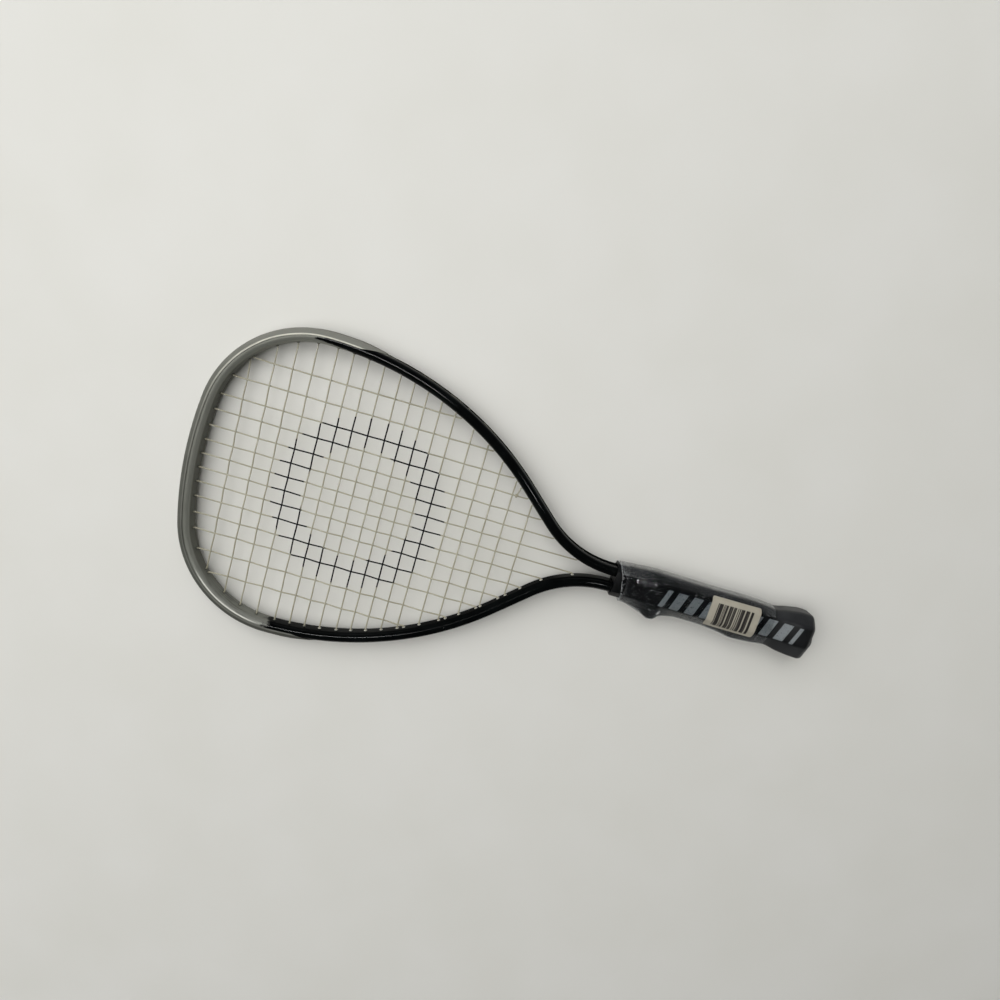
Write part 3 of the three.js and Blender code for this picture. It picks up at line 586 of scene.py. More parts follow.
def solve(axis, target, low, high):
    """The distance along the tube where its inner wall reaches a given X or Y, by halving."""
    rising = beside(high, bend_level)[axis] > beside(low, bend_level)[axis]
    for _ in range(50):
        middle = (low + high) / 2
        if (beside(middle, bend_level)[axis] < target) == rising:
            low = middle
        else:
            high = middle
    return (low + high) / 2


tie_key = ("tie", 0)
ends = {("tip", i): solve(1, y, 0, widest) for i, y in enumerate(mains)}
ends |= {("cross", j): solve(0, x, 0, loop_end) for j, x in enumerate(crosses)}
ends |= {("throat", i): solve(1, y, widest, loop_end) for i, y in enumerate(mains)}
ends[tie_key] = (ends["throat", 4] + ends["throat", 3]) / 2
# holes that would run together are eased apart, a little each round
order = sorted(ends, key=ends.get)
for _ in range(40):
    for a, b in zip(order, order[1:]):
        short = hole_pitch - (ends[b] - ends[a])
        if short > 0:
            ends[a] -= short / 2
            ends[b] += short / 2
hole_places = list(ends.values()) + [-s for key, s in ends.items() if key != tie_key]
print(len(hole_places), "holes in the tube")

# %% [markdown]
# ## Grommet noses
# A nylon nose lines each hole and stands a little proud inside the loop. There are 65 of them,
# all alike, so Geometry Nodes make one and put a copy on each point, turned to face inwards. The
# points travel inside the guard's or strip's own mesh, marked by an attribute.

# %% Start, end and run a node tree
def new_tree(name, inputs):
    """A geometry tree with named inputs, and the outputs that bring their values into it."""
    tree = bpy.data.node_groups.new(name, "GeometryNodeTree")
    tree.interface.new_socket("Geometry", in_out="INPUT", socket_type="NodeSocketGeometry")
    for label, kind, value in inputs:
        socket = tree.interface.new_socket(label, in_out="INPUT", socket_type="NodeSocket" + kind)
        socket.default_value = value
    tree.interface.new_socket("Finish", in_out="INPUT", socket_type="NodeSocketMaterial")
    tree.interface.new_socket("Geometry", in_out="OUTPUT", socket_type="NodeSocketGeometry")
    return tree, add(tree, "NodeGroupInput").outputs


def close_tree(tree, shape, finish):
    coated = add(tree, "GeometryNodeSetMaterial", {"Geometry": shape, "Material": finish})
    add(tree, "NodeGroupOutput", {"Geometry": coated})
    print(tree.name, "has", len(tree.nodes), "nodes")


def run_tree(piece, tree, values):
    """Runs a tree on a piece and keeps the result as a plain mesh."""
    modifier = piece.modifiers.new("shape", "NODES")
    modifier.node_group = tree
    for item in tree.interface.items_tree:
        if item.in_out == "INPUT" and item.name in values:
            modifier[item.identifier] = values[item.name]
    depsgraph = bpy.context.evaluated_depsgraph_get()
    made = bpy.data.meshes.new_from_object(piece.evaluated_get(depsgraph))
    name = piece.name
    bpy.data.objects.remove(piece)
    return new_object(name, made)


# %% Node tree of the noses
nose_bore = 0.95
nose_wall = 0.42
nose_length = 3.0
nose_edge = 0.16
nose_sides = 20
sizes = [("Bore", "Float", 0.001), ("Wall", "Float", 0.0004), ("Length", "Float", 0.003)]
tree, given = new_tree("grommet_noses", sizes)
is_nose = add(tree, "GeometryNodeInputNamedAttribute", {"Name": "nose"}, data_type="BOOLEAN")
facing = add(tree, "GeometryNodeInputNamedAttribute", {"Name": "inward"}, data_type="FLOAT_VECTOR")
marked = {"Geometry": given["Geometry"], "Selection": is_nose}
parted = add(tree, "GeometryNodeSeparateGeometry", marked)
radius = add(tree, "Math", (given["Wall"], 0.5, given["Bore"]), operation="MULTIPLY_ADD")
hoop = add(tree, "GeometryNodeCurvePrimitiveCircle", {"Resolution": nose_sides, "Radius": radius})
wall_size = {"Width": given["Wall"], "Height": given["Length"]}
wall = add(tree, "GeometryNodeCurvePrimitiveQuadrilateral", wall_size)
fillet = {"Curve": wall, "Count": 3, "Radius": nose_edge * MM}
wall = add(tree, "GeometryNodeFilletCurve", fillet, mode="POLY")
nose = add(tree, "GeometryNodeCurveToMesh", {"Curve": hoop, "Profile Curve": wall})
turned = add(tree, "FunctionNodeAlignRotationToVector", {"Vector": facing}, axis="Z")
copies = {"Points": parted.outputs["Selection"], "Instance": nose, "Rotation": turned}
copies = add(tree, "GeometryNodeInstanceOnPoints", copies)
real = add(tree, "GeometryNodeRealizeInstances", {"Geometry": copies})
both = add(tree, "GeometryNodeJoinGeometry")
tree.links.new(parted.outputs["Inverted"], both.inputs[0])
tree.links.new(real.outputs[0], both.inputs[0])
close_tree(tree, both, given["Finish"])
nose_tree = tree


# %% Put noses on a guard or strip
def with_noses(piece, places, material):
    mesh = piece.data
    own = len(mesh.vertices)
    mesh.vertices.add(len(places))
    level = -(half_tube + nose_proud) + nose_length / 2
    inward = np.zeros((own + len(places), 3))
    for k, s in enumerate(places):
        mesh.vertices[own + k].co = beside(s, level) * MM
        inward[own + k] = -out_from(s)
    flags = mesh.attributes.new("nose", "BOOLEAN", "POINT")
    flags.data.foreach_set("value", [False] * own + [True] * len(places))
    ways = mesh.attributes.new("inward", "FLOAT_VECTOR", "POINT")
    ways.data.foreach_set("vector", inward.ravel())
    values = {"Bore": nose_bore * MM, "Wall": nose_wall * MM, "Length": nose_length * MM}
    made = run_tree(piece, nose_tree, values | {"Finish": material})
    for extra in ("nose", "inward"):
        if extra in made.data.attributes:
            made.data.attributes.remove(made.data.attributes[extra])
    made.data.shade_smooth()
    made.data.set_sharp_from_angle(angle=math.radians(35))
    return made


# %% [markdown]
# ## Finish: moulded nylon
# The guard and the strips are nylon, moulded in grey. Nylon is dull and a little waxy, and the
# guard has been dragged along walls: its outer side is scuffed along its length. It is darker on
# the near side with painted shade and lighter on the far one with painted light, and its lip's thin edge
# carries a painted highlight.

# %% Material of the guard
guard_nylon, tree, where = new_finish("moulded_nylon_scuffed")
drawn_out, distance, level, height = tube_places(tree, 0.08)
from_tip = add(tree, "Math", (distance,), operation="ABSOLUTE")
scuff = add(tree, "TexNoise", (drawn_out, 1 / 1.1, 5, 0.7))
cloud = add(tree, "TexNoise", (where, 1 / 18, 3))
tone = two_tones(tree, cloud, 0.3, 0.7, "#4e4f47", "#5e5f57")
layers = [
    (add(tree, "MapRange", (scuff, 0.58, 0.7, 0, 0.5)), "#73736b"),
    # painted shade on the near side, then painted light on the far side
    (add(tree, "MapRange", (distance, -130, 60, 0.75, 0.0)), "#34352f"),
    (add(tree, "MapRange", (distance, 60, 130, 0.0, 0.7)), "#7b7b73"),
]
# a painted highlight along the crest of the lip
rubbed = add(tree, "MapRange", (level, 2.3, 1.8))
for share in (
    add(tree, "MapRange", (height, 8.2, 8.5)),
    add(tree, "MapRange", (from_tip, 30, 120, 0.15, 1.0), interpolation_type="SMOOTHSTEP"),
    add(tree, "MapRange", (scuff, 0.35, 0.55, 0.45, 1.0)),
    add(tree, "MapRange", (distance, -60, 0, 0.1, 1.0)),
):
    rubbed = add(tree, "Math", (rubbed, share), operation="MULTIPLY")
for share, colour in layers + [(rubbed, "#d9d7c8")]:
    tone = add(tree, "Mix", (share, tone, srgb(colour)), data_type="RGBA")
close_finish(guard_nylon, tree, {
    "Base Color": tone,
    "Roughness": add(tree, "MapRange", (scuff, 0.3, 0.7, 0.48, 0.68)),
    "IOR": 1.53,
    "Normal": add(tree, "Bump", {"Height": scuff, "Distance": 0.05 * MM}),
})

# %% Material of the grommet strips
grommet_nylon, tree, where = new_finish("natural_nylon")
cloud = add(tree, "TexNoise", (where, 1 / 4))
grain = add(tree, "TexNoise", (where, 1 / 0.6))
close_finish(grommet_nylon, tree, {
    "Base Color": two_tones(tree, cloud, 0.3, 0.7, "#a9a89f", "#c2c0b4"),
    "Roughness": 0.42,
    "IOR": 1.53,
    "Subsurface Weight": 0.1,
    "Subsurface Radius": (0.001, 0.001, 0.0008),
    "Normal": add(tree, "Bump", {"Height": grain, "Distance": 0.02 * MM}),
})

# %% [markdown]
# ## The bumper guard
# The guard clips into the groove and wraps a little way onto both faces, around the head's tip
# from shoulder to shoulder, and thins out at its ends. Its section is a channel: the strings
# run down the middle, between two ridges that take the knocks.

# %% The tube's shoulder, which the guard follows
guard_end = 140.4 - overall_length / 2
guard_taper = 20
guard_lift = 0.22
guard_wall, guard_end_wall = 1.7, 0.35
guard_lip, guard_end_lip = 0.88, 0.12
lip_thinning = 0.66
strip_thick = 0.6
strip_floor = half_tube - groove_depth + seat_gap + strip_thick


def on_crown(share, lift=0.0):
    """A point on the tube's outer shoulder, lifted off it: share 0 at the side, 1 on the face."""
    angle = share * math.pi / 2
    u = half_tube * max(math.cos(angle), 0) ** (2 / crown_power)
    v = half_tube * math.sin(angle) ** (2 / crown_power)
    slope = np.array([u ** (crown_power - 1), v ** (crown_power - 1)])
    slope /= np.linalg.norm(slope)
    return np.array([u, half_depth - half_tube + v]) + slope * lift, slope


print("guard stands", guard_lift + guard_wall, "mm out from the tube's side")


# %% Section of the guard, thinning towards its ends
def guard_outline(full):
    """The channel's outline: full 1 over the head, 0 where the guard runs out."""
    reach = guard_end_lip + (1 - guard_end_lip) * full
    thickest = guard_end_wall + (guard_wall - guard_end_wall) * full
    inner, outer = [], []
    for t in np.linspace(0, guard_lip, 9):
        point, slope = on_crown(t * reach, guard_lift)
        # thickest at the side, thinning to a lip of about 0.6 mm on the face
        wall = thickest * (1 - lip_thinning * (t / guard_lip) ** 1.3)
        inner.append(tuple(point))
        outer.append(tuple(point + slope * wall))
    proud = outer[0][0]
    ridge = [(proud - 0.25, groove_lip / 2 - 0.75), (proud, groove_lip / 2 - 0.2)]
    channel = [(strip_floor, groove_floor / 2 - 1.1), (strip_floor + 0.4, groove_floor / 2 - 0.7)]
    seat = [
        (half_tube + guard_lift, groove_lip / 2 + 0.05),
        (half_tube - 0.3, groove_lip / 2 - 0.3),
        (strip_floor - strip_thick, groove_floor / 2 - 0.35),
    ]
    tip_in, tip_out = np.array(inner[-1]), np.array(outer[-1])
    across = np.array([-slope[1], slope[0]])
    nose = []
    for t in (0.25, 0.5, 0.75):
        nose.append(tuple(tip_out + (tip_in - tip_out) * t + across * 0.25 * math.sin(math.pi * t)))
    return mirrored(channel + ridge + outer + nose + inner[::-1] + seat)


def guard_at(s):
    left = (guard_stop - abs(s)) / guard_taper
    return guard_outline(min(1.0, max(left, 0.0)) ** 0.8)


# %% Guard with its noses
guard_stop = solve(0, guard_end, 0, loop_end)
bumper_guard = sweep("bumper_guard_skin", guard_at, stations(-guard_stop, guard_stop, 2.2))
bumper_guard = with_noses(bumper_guard, [s for s in hole_places if abs(s) < guard_stop], guard_nylon)
finish_piece(bumper_guard, "bumper_guard", guard_nylon)

# %% [markdown]
# ## Grommet strips
# Below the guard a thin flat strip lies in the groove down each flank and carries the noses.

# %% Strips
strip_past_hole = 9
strip_stop = ends["throat", 0] + strip_past_hole
strip_half = groove_floor / 2 - 0.35
strip_base = strip_floor - strip_thick
strip_box = [(strip_base, -strip_half), (strip_floor, -strip_half)]
strip_box += [(strip_floor, strip_half), (strip_base, strip_half)]
strip_outline = rounded(strip_box, 0.2, 2)
for side, name in ((1, "grommet_strip_right"), (-1, "grommet_strip_left")):
    reach = sorted([side * (guard_stop + seat_gap), side * strip_stop])
    strip = sweep(name + "_skin", lambda s: strip_outline, stations(*reach))
    places = [s for s in hole_places if s * side > 0 and abs(s) > guard_stop]
    strip = with_noses(strip, places, grommet_nylon)
    finish_piece(strip, name, grommet_nylon)

# %% [markdown]
# ## Finish: strung nylon with a stencilled mark
# The string is clear cream nylon, glossy and a little see-through. A player's stencil has left
# black ink on it: here it is a plain ring, the simplest mark there is. The ink sits on the
# strings alone, so it is painted by each point's distance from the ring's centre.

# %% Material of the strings
ring_centre_x = 149.4 - overall_length / 2
ring_radius = 62
ring_half_width = 13
string_nylon, tree, where = new_finish("strung_nylon_with_ink")
place = add(tree, "SeparateXYZ", (where,)).outputs
off_x = add(tree, "Math", (place["X"], ring_centre_x), operation="SUBTRACT")
off_x = add(tree, "Math", (off_x, 2), operation="POWER")
off_y = add(tree, "Math", (place["Y"], 2), operation="POWER")
radius = add(tree, "Math", (off_x, off_y), operation="ADD")
radius = add(tree, "Math", (radius,), operation="SQRT")
from_band = add(tree, "Math", (radius, ring_radius), operation="SUBTRACT")
from_band = add(tree, "Math", (from_band,), operation="ABSOLUTE")
wobble = add(tree, "TexNoise", (where, 1 / 3))
edge = add(tree, "Math", (wobble, 1.6, from_band), operation="MULTIPLY_ADD")
ink = add(tree, "MapRange", (edge, ring_half_width + 1.0, ring_half_width + 0.4))
front = add(tree, "MapRange", (place["Z"], -0.9, -0.4))
ink = add(tree, "Math", (ink, front), operation="MULTIPLY")
yellowing = add(tree, "TexNoise", (where, 1 / 30))
tone = two_tones(tree, yellowing, 0.3, 0.7, "#aaa692", "#98947f")
# the filament's fine ripple is drawn 0.5 mm across, coarse enough to break up the highlight
grain = add(tree, "TexNoise", (where, 1 / 0.5))
close_finish(string_nylon, tree, {
    "Base Color": add(tree, "Mix", (ink, tone, srgb("#060608")), data_type="RGBA"),
    "Roughness": add(tree, "MapRange", (ink, 0, 1, 0.28, 0.5)),
    "IOR": 1.53,
    "Specular IOR Level": add(tree, "MapRange", (ink, 0, 1, 0.5, 0.12)),
    "Normal": add(tree, "Bump", {"Height": grain, "Distance": 0.02 * MM}),
})
print("ring of", 2 * ring_radius, "mm on the strings")

# %% [markdown]
# ## The string bed
# Two cords make the net: one runs up and down through all the mains, the other to and fro
# through all the crosses, and they pass over and under each other. A cord is a path with a
# round section, so each is a curve that a node tree sweeps. The path bends smoothly at every
# crossing, and turns a tight corner where it enters a grommet.

# %% Node tree of a cord
cord_tree, given = new_tree("nylon_cord", [("Radius", "Float", 0.00065), ("Sides", "Int", 10)])
section = {"Resolution": given["Sides"], "Radius": given["Radius"]}
section = add(cord_tree, "GeometryNodeCurvePrimitiveCircle", section)
tube = {"Curve": given["Geometry"], "Profile Curve": section, "Fill Caps": True}
tube = add(cord_tree, "GeometryNodeCurveToMesh", tube)
smooth = add(cord_tree, "GeometryNodeSetShadeSmooth", {"Geometry": tube})
real = add(cord_tree, "GeometryNodeRealizeInstances", {"Geometry": smooth})
close_tree(cord_tree, real, given["Finish"])


def cord(node, points, radius=string_radius, sides=10):
    """Sweeps a round section along the points and puts the cord in its node's place."""
    data = bpy.data.curves.new(node + "_skin", "CURVE")
    data.dimensions = "3D"
    line = data.splines.new("POLY")
    line.points.add(len(points) - 1)
    line.points.foreach_set("co", np.c_[np.array(points) * MM, np.ones(len(points))].ravel())
    piece = new_object(node + "_skin", data)
    values = {"Radius": radius * MM, "Sides": sides, "Finish": string_nylon}
    finish_piece(run_tree(piece, cord_tree, values), node, string_nylon)
    print(node, "is", round(running_length(points)[-1]), "mm long")


# %% Crossings and the weave
weave_lift = string_radius + 0.02
loop_level = strip_floor + seat_gap + string_radius
main_lines = [(1, slot) for slot in range(6, -1, -1)] + [(-1, slot) for slot in range(7)]


def main_end(i, name):
    side, slot = main_lines[i]
    return side * ends[name, slot]


def lift(i, j):
    return weave_lift if (i + j) % 2 else -weave_lift


crossings = []
for i, (side, slot) in enumerate(main_lines):
    low = beside(main_end(i, "tip"), bend_level)[0]
    high = beside(main_end(i, "throat"), bend_level)[0]
    for j, x in enumerate(crosses):
        reach = beside(ends["cross", j], bend_level)[1]
        if low + string_radius < x < high - string_radius and mains[slot] < reach - string_radius:
            crossings.append((i, j, x, side * mains[slot]))
print(len(crossings), "crossings")


# %% Ways to route a cord
def woven(points):
    """Fills in a stretch between its ends so that the weave rises and falls smoothly."""
    fine = [points[0]]
    for a, b in zip(points, points[1:]):
        for t in (0.2, 0.4, 0.6, 0.8, 1.0):
            rise = t * t * (3 - 2 * t)
            fine.append(np.array([*(a[:2] + (b[:2] - a[:2]) * t), a[2] + (b[2] - a[2]) * rise]))
    return fine


def outside_loop(start, stop, z):
    """The way from one hole to the next, in the groove round the outside of the tube."""
    way = math.copysign(1, stop - start)
    lead = min(2.4, abs(stop - start) / 3)
    return [beside(s, loop_level, z) for s in stations(start + way * lead, stop - way * lead, 5)]


def stretch(start, meets, stop):
    inner = [beside(start, bend_level)] + [np.array(m) for m in meets] + [beside(stop, bend_level)]
    return [beside(start, loop_level), *woven(inner), beside(stop, loop_level)]


def eased(points, cut=0.9):
    """Cuts each sharp corner of a route with a small curve."""
    made = [points[0]]
    for before, corner, after in zip(points, points[1:], points[2:]):
        a, b = before - corner, after - corner
        la, lb = np.linalg.norm(a), np.linalg.norm(b)
        nearly_straight = np.dot(a, b) / (la * lb) < -0.97
        if nearly_straight:
            made.append(corner)
            continue
        p, q = corner + a * min(cut / la, 0.4), corner + b * min(cut / lb, 0.4)
        for t in (0, 0.25, 0.5, 0.75, 1):
            made.append((1 - t) ** 2 * p + 2 * t * (1 - t) * corner + t * t * q)
    return made + [points[-1]]


# %% Main string
main_loop_z = 1.6
main_route = []
for i in range(len(main_lines)):
    first, last = ("throat", "tip") if i % 2 == 0 else ("tip", "throat")
    meets = [(x, y, lift(i, j)) for m, j, x, y in crossings if m == i]
    meets = sorted(meets, reverse=i % 2 == 0)
    main_route += stretch(main_end(i, first), meets, main_end(i, last))
    if i + 1 < len(main_lines):
        main_route += outside_loop(main_end(i, last), main_end(i + 1, last), main_loop_z)
cord("main_string", eased(main_route))

# %% Cross string with its tie-off
tie_main = 3
tie_side, tie_slot = main_lines[tie_main]
last_crossing, tie_j = max((x, j) for m, j, x, y in crossings if m == tie_main)
knot_offset = 3.7
knot_height = lift(tie_main, tie_j) * 0.7
knot_centre = np.array([last_crossing + knot_offset, tie_side * mains[tie_slot], knot_height])
cross_route = []
for j in range(len(crosses)):
    side = 1 if j % 2 == 0 else -1
    meets = [(y, (x, y, -lift(m, j))) for m, k, x, y in crossings if k == j]
    meets = [place for _, place in sorted(meets, reverse=side == 1)]
    stop = -side * ends["cross", j]
    cross_route += stretch(side * ends["cross", j], meets, stop)
    onward = -side * ends["cross", j + 1] if j + 1 < len(crosses) else ends[tie_key]
    cross_route += outside_loop(stop, onward, -main_loop_z)
tie_mouth = beside(ends[tie_key], bend_level)
reach = (tie_mouth - knot_centre) / np.linalg.norm(tie_mouth - knot_centre)
cross_route += [beside(ends[tie_key], loop_level), tie_mouth, knot_centre + reach * 1.5]
cord("cross_string", eased(cross_route))

# %% [markdown]
# ## Knots
# The cross string ends in two turns around a main, pulled tight. A stopper knot outside the tube
# holds each other cord end: a trefoil is the closed form of the overhand knot that a stringer ties.

# %% Knots
wrap_turns = 2.2
wrap_radius = 1.22
wrap_half = 0.95
stopper_scale = 0.22
# pulled tight, a knot's cord is squeezed thinner than the string
wrap_cord_radius, stopper_cord_radius = 0.52, 0.36
wrap = np.linspace(0, 2 * math.pi * wrap_turns, 60)
turns_x = np.linspace(-wrap_half, wrap_half, len(wrap))
coil = np.c_[turns_x, wrap_radius * np.cos(wrap), wrap_radius * np.sin(wrap)]
cord("tie_off_knot", knot_centre + coil, wrap_cord_radius)

t = np.linspace(0, 2 * math.pi, 72)
trefoil = [np.sin(t) + 2 * np.sin(2 * t), np.cos(t) - 2 * np.cos(2 * t), -1.6 * np.sin(3 * t)]
for name in ("main_start_knot", "main_end_knot", "cross_start_knot"):
    low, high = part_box(name)
    centre = np.array((low + high) / 2) / MM
    cord(name, centre + np.stack(trefoil, -1) * stopper_scale, stopper_cord_radius, 8)

# %% [markdown]
# ## The grip's shape
# The grip is one rubber moulding slid over the two shanks and their core. Its section is an
# octagon with soft corners. It swells at the butt so that it can't slip out of the hand, and has
# a finger rest on its lower edge. Its sizes are read at a few places along it and joined by
# smooth curves, which a straight loft would leave kinked.

# %% Sizes along the grip: share of its length, then shares of upper, lower and depth
grip_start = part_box("grip_sleeve")[0].x / MM
grip_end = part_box("grip_sleeve")[1].x / MM
grip_length = grip_end - grip_start
grip_half_width = 16.5
grip_half_depth = 13
grip_flat_share = 0.55
grip_side_share = 0.5
grip_corner_radius = 2.2
grip_shares = np.array([
    (0, 0.93, 0.98, 0.93),
    (0.03, 0.95, 1.05, 0.95),
    (0.07, 0.98, 1.13, 0.97),
    (0.1, 1, 1.21, 0.98),
    (0.14, 1.03, 1.44, 0.99),
    (0.165, 1.03, 1.53, 1),
    (0.188, 1.03, 1.5, 1),
    (0.215, 1.02, 1.26, 1),
    (0.25, 1.01, 1.13, 1),
    (0.31, 1, 1.04, 1.01),
    (0.42, 0.98, 1.06, 1.01),
    (0.5, 0.97, 1.13, 1.01),
    (0.55, 0.975, 1.2, 1.01),
    (0.61, 0.98, 1.3, 1),
    (0.7, 0.95, 1.25, 0.98),
    (0.78, 0.88, 1.17, 0.97),
    (0.855, 1.02, 1.31, 1.07),
    (0.93, 1.12, 1.38, 1.2),
    (0.965, 1.1, 1.4, 1.2),
    (0.987, 0.9, 1.37, 1.05),
    (1, 0.58, 1.23, 0.74),
])
print("grip is", round(grip_length, 1), "mm long")


# %% Smooth rings along the grip
def smooth_table(table, share):
    """Joins a table's rows by curves that never overshoot them."""
    xs, ys = table[:, 0], table[:, 1:]
    steps = np.diff(ys, axis=0) / np.diff(xs)[:, None]
    slopes = np.zeros_like(ys)
    a, b = steps[:-1], steps[1:]
    same = a * b > 0
    slopes[1:-1] = np.where(same, 2 * a * b / np.where(same, a + b, 1), 0)
    slopes[0], slopes[-1] = steps[0], steps[-1]
    k = int(np.clip(np.searchsorted(xs, share) - 1, 0, len(xs) - 2))
    h = xs[k + 1] - xs[k]
    t = (share - xs[k]) / h
    lead = (1 + 2 * t) * (1 - t) ** 2 * ys[k] + t * (1 - t) ** 2 * h * slopes[k]
    return lead + t * t * (3 - 2 * t) * ys[k + 1] + t * t * (t - 1) * h * slopes[k + 1]


def grip_outline(share, grow=0.0, chord=0.0):
    """The octagon at a share of the length, grown outwards, its lower edge no nearer than chord."""
    plus, minus, deep = smooth_table(grip_shares, share)
    plus, minus, deep = plus * grip_half_width, minus * grip_half_width, deep * grip_half_depth
    minus = max(minus, chord)
    flat_up = grip_flat_share * min(grip_half_width, plus)
    flat_down = grip_flat_share * min(grip_half_width, minus)
    side = grip_side_share * deep
    wide, low, top = plus + grow, minus + grow, deep + grow
    octagon = [(wide, -side), (wide, side), (flat_up, top), (-flat_down, top)]
    octagon += [(-low, side), (-low, -side), (-flat_down, -top), (flat_up, -top)]
    return rounded(octagon, grip_corner_radius, 5)


def grip_ring(share, grow=0.0, chord=0.0):
    x = grip_start + share * grip_length
    return [(x, y, z) for y, z in grip_outline(share, grow, chord)]


# %% [markdown]
# ## Finish: moulded rubber
# The rubber is black with a very fine leather-like grain from its mould, and soft dull
# reflections. A row of plain slanted blocks is printed on the front facet in worn grey ink.
# Under the film the rubber stays clean and deep black, and its gloss comes from the film.
# Behind it the bevels are painted lighter in patches, as a painted sheen.

# %% Black rubber and the blocks printed on it
block_pitch = 13.5
block_slant = -0.3
block_middle_y = -1.5
print_middle = grip_start + 94
film_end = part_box("shrink_film")[1].x / MM
grip_rubber, tree, where = new_finish("moulded_rubber_with_print")
place = add(tree, "SeparateXYZ", (where,)).outputs
wear_and_painted_light = add(tree, "TexNoise", (where, 1 / 12, 3))
tone = two_tones(tree, wear_and_painted_light, 0.35, 0.7, "#08090a", "#101112")

# each point's share of the way from one block to the next
slant = add(tree, "Math", (place["Y"], block_slant, place["X"]), operation="MULTIPLY_ADD")
cycle = add(tree, "Math", (slant, grip_start), operation="SUBTRACT")
cycle = add(tree, "Math", (cycle, block_pitch), operation="DIVIDE")
cycle = add(tree, "Math", (cycle,), operation="FRACT")
printed = add(tree, "Math", (
    stripe(tree, cycle, 0.5, 0.315, 0.295),
    stripe(tree, place["Y"], block_middle_y, 8.2, 7.9),
), operation="MULTIPLY")
in_row = add(tree, "Math", (
    stripe(tree, slant, print_middle, 60.6, 60.4),
    add(tree, "MapRange", (place["Z"], 10.5, 11)),
), operation="MULTIPLY")
printed = add(tree, "Math", (printed, in_row), operation="MULTIPLY")
rubbed = add(tree, "MapRange", (add(tree, "TexNoise", (where, 1 / 0.9, 3)), 0.3, 0.42))
printed = add(tree, "Math", (printed, rubbed), operation="MULTIPLY")
tone = add(tree, "Mix", (printed, tone, srgb("#767b7d")), data_type="RGBA")
print("print blocks every", block_pitch, "mm")

# %% Painted sheen on the bevels behind the film, and the moulded grain
# painted sheen: the bevels past the film's end are painted lighter in patches
bare = add(tree, "MapRange", (place["X"], film_end - 4, film_end + 2))
on_bevel = stripe(tree, place["Y"], block_middle_y, 8.5, 10)
bevel_sheen = add(tree, "Math", (bare, on_bevel), operation="MULTIPLY")
patchy = add(tree, "MapRange", (wear_and_painted_light, 0.3, 0.65, 0.4, 1.0))
bevel_sheen = add(tree, "Math", (bevel_sheen, patchy), operation="MULTIPLY")
tone = add(tree, "Mix", (bevel_sheen, tone, srgb("#212224")), data_type="RGBA")

# the mould's grain is about 0.4 mm: it is drawn twice as coarse, so that it shows
grain = add(tree, "TexNoise", (where, 1 / 0.8, 3, 0.6))
cells = add(tree, "TexVoronoi", (where, 1 / 0.9), feature="SMOOTH_F1")
grain = add(tree, "Math", (cells, 0.6, grain), operation="MULTIPLY_ADD")
close_finish(grip_rubber, tree, {
    "Base Color": tone,
    "Roughness": add(tree, "MapRange", (wear_and_painted_light, 0.3, 0.7, 0.36, 0.5)),
    "IOR": 1.52,
    "Specular IOR Level": add(tree, "MapRange", (bare, 0, 1, 0.12, 0.5)),
    "Normal": add(tree, "Bump", {"Height": grain, "Distance": 0.05 * MM}),
})

# %% Grip moulding, from its bore at the front to the plug's hole at the butt
plug_low, plug_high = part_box("lanyard_plug")
plug_y = (plug_low.y + plug_high.y) / 2 / MM
plug_outer = (plug_high.y - plug_low.y) / 2 / MM
pallet_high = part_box("pallet_front")[1]
bore_width, bore_depth = pallet_high.y / MM + seat_gap, pallet_high.z / MM + seat_gap
bore_cut, bore_round = 4.6, 1.2
bore_mouth, bore_shown = 0.3, 6
plug_gap = 0.25
plug_hole_edge, plug_hole_depth = 0.15, 6.5


def bore_ring(x):
    """The core's box section with its corners cut."""
    corners = [(bore_width, bore_cut - bore_depth), (bore_width, bore_depth - bore_cut)]
    corners += [(bore_width - bore_cut, bore_depth), (bore_cut - bore_width, bore_depth)]
    corners += [(-u, -v) for u, v in corners]
    return [(x, u, z) for u, z in rounded(corners, bore_round, 5)]


def hole_ring(x):
    """A round ring whose points match the octagon's, one for one."""
    radius = plug_outer + plug_gap
    ring = np.array(grip_ring(1.0))
    angle = np.arctan2(ring[:, 2], ring[:, 1] - plug_y)
    return np.c_[np.full(len(ring), x), plug_y + radius * np.cos(angle), radius * np.sin(angle)]


rings = [bore_ring(grip_start + bore_shown), bore_ring(grip_start + bore_mouth)]
front = np.array(grip_ring(0.0))
inner_front = np.array(rings[-1])
# across the front face and round its edge, then along the sides, closer where the butt curves in
for inward, back in ((0.75, 0.0), (0.25, 0.05), (0.08, 0.25)):
    edge = front + (inner_front - front) * inward
    edge[:, 0] = grip_start + back
    rings.append(edge)
rings += [grip_ring(share) for share in np.linspace(0.004, 0.9, 150)]
rings += [grip_ring(share) for share in np.linspace(0.905, 1.0, 34)]
end_ring = np.array(rings[-1])
rings += [end_ring + (hole_ring(grip_end) - end_ring) * t for t in (0.3, 0.75)]
rings += [hole_ring(grip_end - plug_hole_edge), hole_ring(grip_end - plug_hole_depth)]
grip_sleeve = skin("grip_sleeve_skin", rings)
finish_piece(grip_sleeve, "grip_sleeve", grip_rubber)

# %% [markdown]
# ## Collar, plug and core
# Hard black plastic closes the throat where the shanks enter the grip. The CAD solid of the
# collar has the right form already, so it is copied, its edges are broken with a small bevel as
# a mould leaves them, and it gets its finish. The core and its screws are hidden inside the
# grip, so their solids stay and only get their finishes. ABS is evenly black with a low sheen,
# the core's polyurethane foam is dull and full of pores, and zinc plate is a bright cloudy grey.

